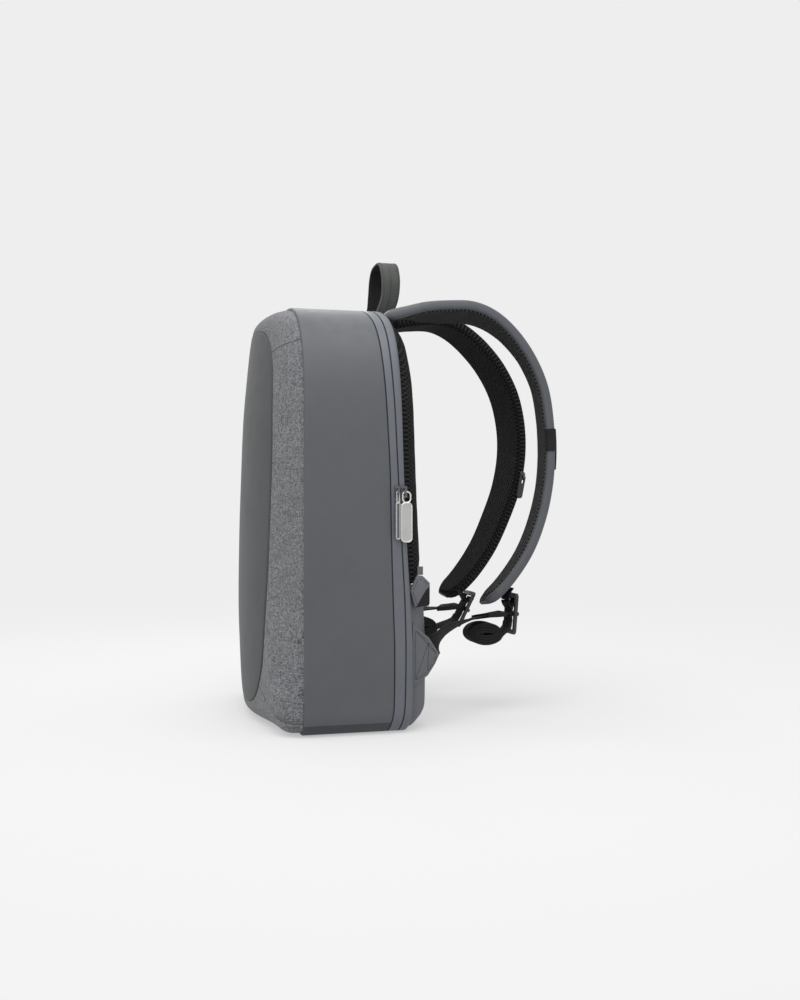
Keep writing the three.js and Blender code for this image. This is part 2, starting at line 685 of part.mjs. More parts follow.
// Joined solid of several closed solids
function fuse(geometries) {
  const solids = geometries.map((geometry) => {
    const clean = geometry.index ? geometry.clone() : geometry;
    clean.deleteAttribute('normal');
    clean.deleteAttribute('uv');
    const merged = mergeVertices(clean, 1e-4);
    return new wasm.Manifold(new wasm.Mesh({
      numProp: 3,
      vertProperties: merged.attributes.position.array,
      triVerts: merged.index.array,
    }));
  });
  const mesh = solids.reduce((whole, piece) => whole.add(piece)).getMesh();
  const geometry = new THREE.BufferGeometry();
  geometry.setAttribute('position', new THREE.Float32BufferAttribute(Array.from(mesh.vertProperties), 3));
  geometry.setIndex(Array.from(mesh.triVerts));
  return geometry;
}

// Rectangle with cut corners as a path, centred on a point
function cutRectangle(path, centreU, centreV, width, height, corner) {
  const u = width / 2;
  const v = height / 2;
  path.moveTo(centreU - u + corner, centreV - v);
  path.lineTo(centreU + u - corner, centreV - v);
  path.lineTo(centreU + u, centreV - v + corner);
  path.lineTo(centreU + u, centreV + v - corner);
  path.lineTo(centreU + u - corner, centreV + v);
  path.lineTo(centreU - u + corner, centreV + v);
  path.lineTo(centreU - u, centreV + v - corner);
  path.lineTo(centreU - u, centreV - v + corner);
  path.closePath();
  return path;
}
const extrude = (shape, depth) => new THREE.ExtrudeGeometry(shape, { depth, bevelEnabled: false });

// Sleeve along a row of frames, its wall outside the given clearance
function sleeve(frames, width, thick, clear, wall, edge) {
  const loop = (frame, grow) => bandSection(
    frame.centre, frame.across, frame.normal, width + grow * 2, thick + grow * 2, edge,
  );
  return ringSolid([
    ...frames.map((frame) => loop(frame, clear + wall)),
    ...frames.slice().reverse().map((frame) => loop(frame, clear)),
  ]);
}

// Elastic sleeve and its tail on the right strap
const rowShare = (row) => row / (STRAP_PATH.length - 1);
const strapThick = STRAP.thick + STRAP.meshGap + STRAP.meshThick;
const elasticFrames = [ELASTIC.fromRow, ELASTIC.toRow].map((row) => {
  const frame = strapFrame(1, rowShare(row));
  return { ...frame, centre: frame.centre.clone().addScaledVector(frame.normal, -strapThick / 2) };
});
add('strap_elastic', sleeve(
  elasticFrames, STRAP.half * 2, strapThick, ELASTIC.clear, ELASTIC.thick, STRAP.edge,
), WEB_BLACK);
const tailLift = ELASTIC.clear + ELASTIC.thick + GAP + ELASTIC.tailThick / 2;
add('strap_elastic_tail', barSolid([ELASTIC.fromRow, ELASTIC.toRow, ELASTIC.tailToRow].map((row) => {
  const frame = strapFrame(1, rowShare(row));
  const centre = frame.centre.clone().addScaledVector(frame.normal, tailLift);
  return bandSection(
    centre, frame.across, frame.normal, ELASTIC.tailHalf * 2, ELASTIC.tailThick, STRAP.meshEdge,
  );
})), WEB_BLACK);

// Point on the plane of a wing at a y, lifted outwards from its middle
function wingPoint(sign, y, z, lift) {
  const share = (y - WING.rootY) / (WING.tipY - WING.rootY);
  const outward = new THREE.Vector3(WING.tipY - WING.rootY, WING.rootX - WING.tipX, 0).normalize();
  const x = mix(WING.rootX, WING.tipX, share);
  return new THREE.Vector3((x + outward.x * lift) * sign, y + outward.y * lift, z);
}

// Frames of a webbing whose width turns about its run, 0 lies flat and 90 stands on edge
function webbingFrames(rows, count) {
  const curve = curveOf(rows.map((row) => row.point));
  const frames = [];
  for (let step = 0; step <= count; step += 1) {
    const t = step / count;
    const along = curve.getTangent(t);
    const place = t * (rows.length - 1);
    const low = Math.min(Math.floor(place), rows.length - 2);
    const turn = degrees(mix(rows[low].turn, rows[low + 1].turn, place - low));
    const flat = new THREE.Vector3(along.y, -along.x, 0).normalize();
    const upright = new THREE.Vector3().crossVectors(flat, along).normalize();
    const across = flat.multiplyScalar(Math.cos(turn)).addScaledVector(upright, Math.sin(turn));
    const normal = new THREE.Vector3().crossVectors(along, across);
    frames.push({ centre: curve.getPoint(t), across, normal });
  }
  return frames;
}
const webbingBar = (frames, thick) => barSolid(frames.map((frame) => bandSection(
  frame.centre, frame.across, frame.normal, WEBBING.width, thick,
)));

// Ladder buckle: frame with two windows and a round grip bar on its rear face
function buckleGeometry(height) {
  const frame = cutRectangle(new THREE.Shape(), 0, 0, BUCKLE.width, height, BUCKLE.corner);
  const windowHigh = (height - BUCKLE.bar * 3) / 2;
  const windowWide = BUCKLE.width - BUCKLE.rail * 2;
  for (const way of [-1, 1]) {
    const centreV = way * (windowHigh + BUCKLE.bar) / 2;
    frame.holes.push(cutRectangle(new THREE.Path(), 0, centreV, windowWide, windowHigh, BUCKLE.windowCorner));
  }
  const body = extrude(frame, BUCKLE.thick).translate(0, 0, -BUCKLE.thick / 2);
  const grip = new THREE.CylinderGeometry(BUCKLE.knobRadius, BUCKLE.knobRadius, windowWide, BUCKLE.knobSides)
    .rotateZ(Math.PI / 2)
    .translate(0, 0, -BUCKLE.thick / 2 - BUCKLE.knobOut);
  return fuse([body, grip]);
}

for (const set of LOWER_SETS) {
  const { side, sign } = set;
  const top = new THREE.Vector3(BUCKLE.x * sign, set.buckleTop.y, set.buckleTop.z);
  const bottom = new THREE.Vector3(BUCKLE.x * sign, set.buckleBottom.y, set.buckleBottom.z);
  const up = top.clone().sub(bottom).normalize();
  const front = new THREE.Vector3(0, -up.z, up.y);
  const buckle = add(`ladder_buckle_${side}`, buckleGeometry(top.distanceTo(bottom)), PLASTIC);
  buckle.position.copy(top).add(bottom).multiplyScalar(0.5);
  const buckleBasis = new THREE.Matrix4().makeBasis(new THREE.Vector3(1, 0, 0), up, front);
  buckle.quaternion.setFromRotationMatrix(buckleBasis);

  add(`end_webbing_${side}`, webbingBar(webbingFrames(END_WEBBING.map((row) => ({
    point: new THREE.Vector3(BUCKLE.x * sign, row.y + set.endShiftY, row.z), turn: 0,
  })), WEBBING.endSteps), WEBBING.thick), WEB_BLACK);

  // Lower webbing: first under the wing, then bent and turned flat to the buckle
  const lift = -(WING.thick + WEBBING.thick) / 2 - GAP - WING.slack;
  const edgeHigh = WING_OUTLINE[4];
  const edgeLow = WING_OUTLINE[3];
  const middle = { y: (edgeHigh.y + edgeLow.y) / 2, z: (edgeHigh.z + edgeLow.z) / 2 };
  const slope = Math.atan2(edgeHigh.z - edgeLow.z, edgeLow.y - edgeHigh.y);
  const under = wingPoint(
    sign, middle.y - WING.tuck * Math.sin(slope), middle.z - WING.tuck * Math.cos(slope), lift,
  );
  const leave = wingPoint(sign, middle.y, middle.z, lift);
  const lastRow = LOWER_WEBBING[LOWER_WEBBING.length - 1];
  const reach = lastRow.y - middle.y;
  const rows = [
    { point: under, turn: 90 * sign },
    { point: under.clone().lerp(leave, WEBBING.underShare), turn: 90 * sign },
    { point: leave, turn: 90 * sign },
    { point: under.clone().lerp(leave, WING.straight), turn: WEBBING.leaveTurn * sign },
    ...LOWER_WEBBING.map((row) => {
      const share = (row.y - middle.y) / reach;
      const y = row.y + set.shiftY * share;
      const turn = sign > 0 ? row.turn + row.rightTurn : -row.turn;
      return { point: new THREE.Vector3(row.x * sign, y, row.z + set.shiftZ * share), turn };
    }),
  ];
  const frames = webbingFrames(rows, WEBBING.steps);
  add(`lower_webbing_${side}`, webbingBar(frames, WEBBING.thick), WEB_BLACK);
  const keeperFrames = frames.slice(
    Math.round(KEEPER.fromShare * WEBBING.steps), Math.round(KEEPER.toShare * WEBBING.steps) + 1,
  );
  add(`keeper_${side}`, sleeve(
    keeperFrames, WEBBING.width, WEBBING.thick, KEEPER.clear, KEEPER.thick, 0,
  ), WEB_BLACK);

  // Rolled tail: from the foot of the buckle into a flattened spiral
  const lead = ROLL.lead.map(
    (row) => bottom.clone().addScaledVector(up, row.up).addScaledVector(front, row.front),
  );
  const spiral = [];
  for (let step = 0; step <= ROLL.turns * ROLL.perTurn; step += 1) {
    const turn = degrees(ROLL.startTurn) - (2 * Math.PI * step) / ROLL.perTurn;
    const shrink = ROLL.thick / 2 + (ROLL.pitch * step) / ROLL.perTurn;
    spiral.push(new THREE.Vector3(
      BUCKLE.x * sign,
      set.roll.y + (ROLL.halfLong - shrink) * Math.cos(turn),
      set.roll.z + (ROLL.halfShort - shrink) * Math.sin(turn),
    ));
  }
  const line = [...lead, ...spiral];
  const acrossX = new THREE.Vector3(1, 0, 0);
  add(`webbing_roll_${side}`, barSolid(line.map((point, index) => {
    const before = line[Math.max(index - 1, 0)];
    const after = line[Math.min(index + 1, line.length - 1)];
    const along = after.clone().sub(before).normalize();
    const normal = new THREE.Vector3().crossVectors(along, acrossX);
    return bandSection(point, acrossX, normal, WEBBING.width, ROLL.thick);
  })), WEB_BLACK);

  add(`wing_tab_${side}`, barSolid([-1, 1].map((way) => WING_OUTLINE.map(
    (row) => wingPoint(sign, row.y, row.z, (way * WING.thick) / 2),
  ))), DARK_SLATE);
}

// Side tab and its small slider
add('side_tab', barSolid([0, TAB.thick].map((depth) => TAB_OUTLINE.map(
  (row) => new THREE.Vector3(TAB.x + depth, row.y, row.z),
))), DARK_SLATE);
const tabTop = TAB_OUTLINE[5].z;
const tabSlider = add('side_tab_slider', new THREE.BoxGeometry(
  TAB.slider.thick, TAB.slider.width, TAB.slider.height,
), GUNMETAL);
tabSlider.position.set(TAB.x + TAB.thick / 2, TAB.slider.y, tabTop + GAP + TAB.slider.height / 2);

// Slider in its own frame: x outwards from the zip, z along it, the pin at the origin
function sliderGeometry(plateWide, bridgeWide, height) {
  const profile = new THREE.Shape();
  const inner = -SLIDER.room / 2;
  const outer = SLIDER.room / 2 + SLIDER.wall;
  const high = SLIDER.bridgeHigh / 2;
  const open = high - SLIDER.wall;
  profile.moveTo(inner - SLIDER.root, -high);
  profile.lineTo(outer, -high + SLIDER.wall);
  profile.lineTo(outer, high - SLIDER.wall);
  profile.lineTo(inner - SLIDER.root, high);
  profile.closePath();
  const hole = new THREE.Path();
  hole.moveTo(inner, -open);
  hole.lineTo(outer - SLIDER.wall, -open);
  hole.lineTo(outer - SLIDER.wall, open);
  hole.lineTo(inner, open);
  hole.closePath();
  profile.holes.push(hole);
  const bridge = extrude(profile, bridgeWide).rotateX(Math.PI / 2).translate(0, bridgeWide / 2, 0);
  const plate = new THREE.BoxGeometry(SLIDER.plate, plateWide, height)
    .translate(inner - SLIDER.plate / 2, 0, 0);
  return fuse([plate, bridge]);
}

// Puller in the same frame: its top bar lies on the origin and it hangs down
function pullerGeometry(pull, shiftY) {
  const shape = cutRectangle(
    new THREE.Shape(), shiftY, PULLER.bar / 2 - pull.length / 2, pull.width, pull.length,
    Math.min(PULLER.corner, pull.width / 3),
  );
  shape.holes.push(cutRectangle(
    new THREE.Path(), shiftY, -(PULLER.bar + PULLER.windowHigh) / 2, pull.windowWide, PULLER.windowHigh,
    PULLER.windowCorner,
  ));
  const geometry = extrude(shape, PULLER.thick).translate(0, 0, -PULLER.thick / 2);
  return geometry.applyMatrix4(new THREE.Matrix4().makeBasis(
    new THREE.Vector3(0, 1, 0), new THREE.Vector3(0, 0, 1), new THREE.Vector3(1, 0, 0),
  ));
}

const pinFromFace = SLIDER.plate + SLIDER.room / 2;
for (const zip of ZIPS) {
  const slider = add(`zip_slider_${zip.name}`, sliderGeometry(
    zip.plateWide, zip.bridgeWide, SLIDER.height,
  ), GUNMETAL);
  slider.position.set(BODY.width / 2 + ZIP_CLEAR + pinFromFace, rearY(zip.line, zip.z) + zip.shift, zip.z);
  const puller = add(`zip_puller_${zip.name}`, pullerGeometry(zip.pull, zip.pull.shift), SILVER);
  puller.position.copy(slider.position);
}

// Pocket slider on the inner edge of the left strap
const pocketFrame = strapFrame(-1, rowShare(POCKET.row));
const pocketUp = new THREE.Vector3().crossVectors(pocketFrame.across, pocketFrame.normal);
if (pocketUp.z < 0) pocketUp.negate();
const pocketBasis = new THREE.Matrix4().makeBasis(
  pocketFrame.across, new THREE.Vector3().crossVectors(pocketUp, pocketFrame.across), pocketUp,
);
const pocketPin = pocketFrame.centre.clone()
  .addScaledVector(pocketFrame.normal, -STRAP.thick / 2)
  .addScaledVector(pocketFrame.across, STRAP.half + POCKET.clear + pinFromFace);
for (const [name, geometry, finish] of [
  ['pocket_slider', sliderGeometry(POCKET.plateWide, POCKET.bridgeWide, POCKET.height), GUNMETAL],
  ['pocket_puller', pullerGeometry(POCKET.pull, 0), PLASTIC],
]) {
  const mesh = add(name, geometry, finish);
  mesh.position.copy(pocketPin);
  mesh.quaternion.setFromRotationMatrix(pocketBasis);
}

export default group;
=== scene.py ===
"""Dresses an upright laptop backpack: coated shell, heather front, mesh back, straps and webbing."""

from __future__ import annotations

import logging
import math
from collections.abc import Callable, Sequence
from dataclasses import dataclass, field
from enum import Enum
from functools import cache

import bpy
import numpy as np
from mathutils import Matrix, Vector


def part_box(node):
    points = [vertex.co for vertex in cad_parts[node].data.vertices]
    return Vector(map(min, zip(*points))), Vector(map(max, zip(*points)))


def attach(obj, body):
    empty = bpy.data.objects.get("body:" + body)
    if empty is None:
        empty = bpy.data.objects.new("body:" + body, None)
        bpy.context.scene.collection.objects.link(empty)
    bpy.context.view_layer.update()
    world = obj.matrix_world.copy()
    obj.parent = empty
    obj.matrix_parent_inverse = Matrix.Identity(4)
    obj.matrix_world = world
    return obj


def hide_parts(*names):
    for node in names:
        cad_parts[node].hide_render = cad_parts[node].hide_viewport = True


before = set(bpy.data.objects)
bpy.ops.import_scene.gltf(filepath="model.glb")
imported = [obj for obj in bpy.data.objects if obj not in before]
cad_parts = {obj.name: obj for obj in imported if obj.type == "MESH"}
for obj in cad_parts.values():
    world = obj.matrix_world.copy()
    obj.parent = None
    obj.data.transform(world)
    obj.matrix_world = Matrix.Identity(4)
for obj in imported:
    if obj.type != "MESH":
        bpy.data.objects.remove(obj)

LOG = logging.getLogger("backpack")
Rgb = tuple[float, float, float]
Pair = tuple[float, float]
Depth = Callable[[np.ndarray], np.ndarray]
Outputs = bpy.types.bpy_prop_collection
Sockets = dict[str, bpy.types.NodeSocket]
SOCKET_KINDS = {
    "Vector": "NodeSocketVector",
    "Along": "NodeSocketVector",
    "Color": "NodeSocketColor",
    "Shade": "NodeSocketColor",
    "Dust": "NodeSocketColor",
}

# Slope and middle height of the sewn lines across the cloth
CROWN_SEAM: Pair = (0.164, 0.383)
FOOT_SEAM: Pair = (-0.35, 0.0658)

# Height of sewn threads over the cloth, and the broken edges of solids that are kept
THREAD_LIFT = 0.0001
BEVEL_STEPS = 2
BEVEL_FROM = math.radians(30)


class Body(Enum):
    """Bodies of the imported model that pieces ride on."""

    BAG = "bag"
    FRONT_PULLER = "front_puller"
    REAR_PULLER = "rear_puller"
    POCKET_PULLER = "pocket_puller"


class Side(Enum):
    """Right and left half of the bag, with the sign of X on that side."""

    RIGHT = 1
    LEFT = -1

    @property
    def label(self) -> str:
        """Word that ends the names of this side's pieces."""
        return self.name.lower()


def smooth_value(rows: Sequence[Pair], at: np.ndarray) -> np.ndarray:
    """Reads a table of places and values along a smooth curve that never overshoots.

    Args:
        rows: pairs of place and value, places rising.
        at: places to read.

    Returns:
        The values at those places.
    """
    x = np.array([row[0] for row in rows], float)
    y = np.array([row[1] for row in rows], float)
    step = np.diff(x)
    slope = np.diff(y) / step
    tangent = np.zeros_like(y)
    same_way = slope[1:] * slope[:-1] > 0
    safe = np.where(same_way, slope[1:] + slope[:-1], 1.0)
    tangent[1:-1] = np.where(same_way, 2 * slope[1:] * slope[:-1] / safe, 0.0)
    tangent[0], tangent[-1] = slope[0], slope[-1]
    place = np.clip(np.asarray(at, float), x[0], x[-1])
    low = np.clip(np.searchsorted(x, place) - 1, 0, len(x) - 2)
    width = step[low]
    t = (place - x[low]) / width
    first = (1 + 2 * t) * (1 - t) ** 2 * y[low] + t * (1 - t) ** 2 * width * tangent[low]
    return first + t**2 * (3 - 2 * t) * y[low + 1] + t**2 * (t - 1) * width * tangent[low + 1]


def unit(vectors: np.ndarray) -> np.ndarray:
    """Vectors of the same directions with length one."""
    return vectors / np.maximum(np.linalg.norm(vectors, axis=-1, keepdims=True), 1e-12)


def run_along(points: np.ndarray) -> np.ndarray:
    """Length of the way from the first point to each point of a row."""
    return np.concatenate([[0], np.cumsum(np.linalg.norm(np.diff(points, axis=0), axis=1))])


def quarter_turn(steps: int) -> list[Pair]:
    """Sine and cosine at the steps of a quarter turn, both ends included."""
    turns = [math.pi / 2 * step / steps for step in range(steps + 1)]
    return [(math.sin(turn), math.cos(turn)) for turn in turns]


def mirrored(right: list[Pair]) -> np.ndarray:
    """Closed outline from its right half, which begins and ends at the middle."""
    return np.array(right + [(-x, z) for x, z in right[1:-1][::-1]])


def dense_outline(corners: np.ndarray, steps: int) -> np.ndarray:
    """Closed outline with each of its sides cut into equal steps."""
    shares = np.linspace(0, 1, steps, endpoint=False)[:, None]
    after = np.roll(corners, -1, axis=0)
    return np.concatenate([start + (end - start) * shares for start, end in zip(corners, after)])


@dataclass
class Curve:
    """Smooth centripetal curve through a row of points, one unit of place per row."""

    points: np.ndarray

    def at(self, places: np.ndarray) -> np.ndarray:
        """Points of the curve.

        Args:
            places: places counted in rows, from 0 to the last row.

        Returns:
            One point for each place.
        """
        rows = self.points
        last = len(rows) - 1
        padded = np.vstack([2 * rows[0] - rows[1], rows, 2 * rows[-1] - rows[-2]])
        found = []
        for place in np.clip(places, 0, last):
            low = min(int(place), last - 1)
            t = place - low
            p0, p1, p2, p3 = padded[low : low + 4]
            gaps = [max(float(np.linalg.norm(b - a)) ** 0.5, 1e-6) for a, b in ((p0, p1), (p1, p2), (p2, p3))]
            start = (p1 - p0) / gaps[0] - (p2 - p0) / (gaps[0] + gaps[1]) + (p2 - p1) / gaps[1]
            end = (p2 - p1) / gaps[1] - (p3 - p1) / (gaps[1] + gaps[2]) + (p3 - p2) / gaps[2]
            start, end = start * gaps[1], end * gaps[1]
            bend = (-3 * p1 + 3 * p2 - 2 * start - end) * t**2
            found.append(p1 + start * t + bend + (2 * p1 - 2 * p2 + start + end) * t**3)
        return np.array(found)

    def along(self, places: np.ndarray) -> np.ndarray:
        """Directions of the curve at places counted in rows."""
        last = len(self.points) - 1
        return unit(self.at(np.clip(places + 1e-3, 0, last)) - self.at(np.clip(places - 1e-3, 0, last)))


@dataclass
class Frames:
    """Centres of a band with the directions across it and out of its face."""

    centre: np.ndarray
    across: np.ndarray
    normal: np.ndarray

    def shifted(self, depth: float) -> Frames:
        """The same band moved along its normals."""
        return Frames(self.centre + self.normal * depth, self.across, self.normal)

    def part(self, start: int, stop: int) -> Frames:
        """The frames from one index up to another."""
        return Frames(self.centre[start:stop], self.across[start:stop], self.normal[start:stop])

    def there_and_back(self) -> Frames:
        """The frames in their order and then in reverse, for the two faces of a sleeve."""
        parts = (self.centre, self.across, self.normal)
        return Frames(*(np.concatenate([values, values[::-1]]) for values in parts))


def rounded_section(
    width: float, thick: float, edge: float, corner_steps: int = 4, face_steps: int = 6
) -> np.ndarray:
    """Outline of a band with rounded edges.

    Args:
        width: full width of the band.
        thick: full thickness of the band.
        edge: radius of its edges.
        corner_steps: steps round each edge.
        face_steps: steps across each face.

    Returns:
        Closed loop of points as across and out values.
    """
    edge = min(edge, thick / 2 - 1e-6, width / 2 - 1e-6)
    w, t = width / 2 - edge, thick / 2 - edge
    loop: list[Pair] = []
    for centre_a, centre_n, start in ((w, -t, -90), (w, t, 0), (-w, t, 90), (-w, -t, 180)):
        for step in range(corner_steps + 1):
            turn = math.radians(start + 90 * step / corner_steps)
            loop.append((centre_a + edge * math.cos(turn), centre_n + edge * math.sin(turn)))
        if start == 0:
            loop += [(w - 2 * w * step / face_steps, t + edge) for step in range(1, face_steps)]
        if start == 180:
            loop += [(-w + 2 * w * step / face_steps, -t - edge) for step in range(1, face_steps)]
    return np.array(loop)


class MeshMaker:
    """Turns grids of points into mesh objects with metric texture coordinates."""

    @staticmethod
    def build(
        name: str,
        points: np.ndarray,
        faces: list[tuple[int, ...]],
        coordinates: list[Pair],
        sharp: float = 40,
    ) -> bpy.types.Object:
        """Makes an object.

        Args:
            name: name of the piece.
            points: its points in metres.
            faces: corner indices of each face.
            coordinates: texture coordinates of each face corner, in metres.
            sharp: angle in degrees above which an edge stays sharp.

        Returns:
            The new object, linked to the scene.
        """
        mesh = bpy.data.meshes.new(name)
        mesh.from_pydata(np.asarray(points, float).tolist(), [], faces)
        layer = mesh.uv_layers.new(name="metres")
        layer.data.foreach_set("uv", np.array(coordinates, np.float32).ravel())
        mesh.shade_smooth()
        mesh.set_sharp_from_angle(angle=math.radians(sharp))
        mesh.validate()
        piece = bpy.data.objects.new(name, mesh)
        bpy.context.scene.collection.objects.link(piece)
        return piece

    @staticmethod
    def ring(
        name: str, loops: np.ndarray, wrap: bool = True, span: tuple[int, int] | None = None
    ) -> bpy.types.Object:
        """Makes a wall whose cross section joins the last loop to the first.

        Args:
            name: name of the piece.
            loops: loops of points that run round the bag.
            wrap: whether the loops close on themselves.
            span: first and last point of the loops to use when they don't.

        Returns:
            The new object.
        """
        if span is not None:
            loops = loops[:, span[0] : span[1] + 1]
        rows, count = loops.shape[:2]
        run = run_along(np.vstack([loops[0], loops[0][:1]]))
        closed = np.concatenate([loops, loops[:1]])
        rise = np.concatenate([[0], np.cumsum(np.linalg.norm(np.diff(closed, axis=0), axis=2).mean(axis=1))])
        faces, uvs = [], []
        for row in range(rows):
            here, there = row * count, (row + 1) % rows * count
            for step in range(count if wrap else count - 1):
                after = (step + 1) % count
                faces.append((here + step, there + step, there + after, here + after))
                uvs += [
                    (run[step], rise[row]),
                    (run[step], rise[row + 1]),
                    (run[step + 1], rise[row + 1]),
                    (run[step + 1], rise[row]),
                ]
        if not wrap:
            for step, turned in ((0, False), (count - 1, True)):
                cap = [row * count + step for row in range(rows)]
                faces.append(tuple(cap if turned else cap[::-1]))
                uvs += [(0.0, 0.0)] * rows
        return MeshMaker.outward(MeshMaker.build(name, loops.reshape(-1, 3), faces, uvs))

    @staticmethod
    def plate(name: str, loops: np.ndarray, top: np.ndarray, bottom: np.ndarray) -> bpy.types.Object:
        """Makes a plate or cushion whose loops shrink to a point on both faces.

        Args:
            name: name of the piece.
            loops: loops from the innermost of the top face to the innermost of the bottom face.
            top: middle point of the top face.
            bottom: middle point of the bottom face.

        Returns:
            The new object.
        """
        rows, count = loops.shape[:2]
        points = np.vstack([loops.reshape(-1, 3), top, bottom])
        faces, uvs = [], []
        flat = [(point[0], point[2]) for point in points]

        def add(face: tuple[int, ...]) -> None:
            """Adds one face with flat coordinates."""
            faces.append(face)
            uvs.extend(flat[index] for index in face)

        for row in range(rows - 1):
            here, there = row * count, (row + 1) * count
            for step in range(count):
                after = (step + 1) % count
                add((here + step, there + step, there + after, here + after))
        for step in range(count):
            after = (step + 1) % count
            add((len(points) - 2, step, after))
            add((len(points) - 1, (rows - 1) * count + after, (rows - 1) * count + step))
        return MeshMaker.outward(MeshMaker.build(name, points, faces, uvs))

    @staticmethod
    def sweep(
        name: str, frames: Frames, sections: Sequence[np.ndarray], closed: bool = False
    ) -> bpy.types.Object:
        """Makes a band along a row of frames.

        Args:
            name: name of the piece.
            frames: centres and directions of the band.
            sections: one outline for each frame, all with the same number of points.
            closed: whether the band is a hollow sleeve that ends where it began.

        Returns:
            The new object.
        """
        total, count = len(sections), len(sections[0])
        points = np.concatenate([
            frames.centre[i] + sections[i][:, :1] * frames.across[i] + sections[i][:, 1:] * frames.normal[i]
            for i in range(total)
        ])
        run = run_along(frames.centre)
        faces, uvs = [], []
        for row in range(total if closed else total - 1):
            next_row = (row + 1) % total
            here, there = row * count, next_row * count
            for step in range(count):
                after = (step + 1) % count
                faces.append((here + step, here + after, there + after, there + step))
                uvs += [
                    (sections[row][step][0], run[row]),
                    (sections[row][after][0], run[row]),
                    (sections[row][after][0], run[next_row]),
                    (sections[row][step][0], run[next_row]),
                ]
        if not closed:
            for row, turned in ((0, True), (total - 1, False)):
                cap = [row * count + step for step in range(count)]
                faces.append(tuple(cap[::-1] if turned else cap))
                uvs += [tuple(sections[row][index % count]) for index in (cap[::-1] if turned else cap)]
        return MeshMaker.outward(MeshMaker.build(name, points, faces, uvs))

    @staticmethod
    def sleeve(
        name: str, frames: Frames, band: Pair, clear: float, wall: float, edges: Pair, steps: tuple[int, int]
    ) -> bpy.types.Object:
        """Makes a hollow sleeve round a band.

        Args:
            name: name of the piece.
            frames: centres and directions of the band.
            band: width and thickness of the band.
            clear: gap between the band and the sleeve.
            wall: thickness of the sleeve.
            edges: radius of the sleeve's edges outside and inside.
            steps: steps round each edge and across each face.

        Returns:
            The new object.
        """
        count = len(frames.centre)
        outer, inner = (
            rounded_section(band[0] + grow * 2, band[1] + grow * 2, edge, *steps)
            for grow, edge in zip((clear + wall, clear), edges)
        )
        return MeshMaker.sweep(name, frames.there_and_back(), [outer] * count + [inner] * count, closed=True)

    @staticmethod
    def outward(piece: bpy.types.Object) -> bpy.types.Object:
        """Turns all faces of a closed piece outwards."""
        mesh = piece.data
        corners = np.zeros(len(mesh.vertices) * 3)
        mesh.vertices.foreach_get("co", corners)
        corners = corners.reshape(-1, 3)
        mesh.calc_loop_triangles()
        triangles = np.zeros(len(mesh.loop_triangles) * 3, int)
        mesh.loop_triangles.foreach_get("vertices", triangles)
        a, b, c = (corners[triangles.reshape(-1, 3)[:, k]] for k in range(3))
        if float((a * np.cross(b, c)).sum()) < 0:
            mesh.flip_normals()
        return piece


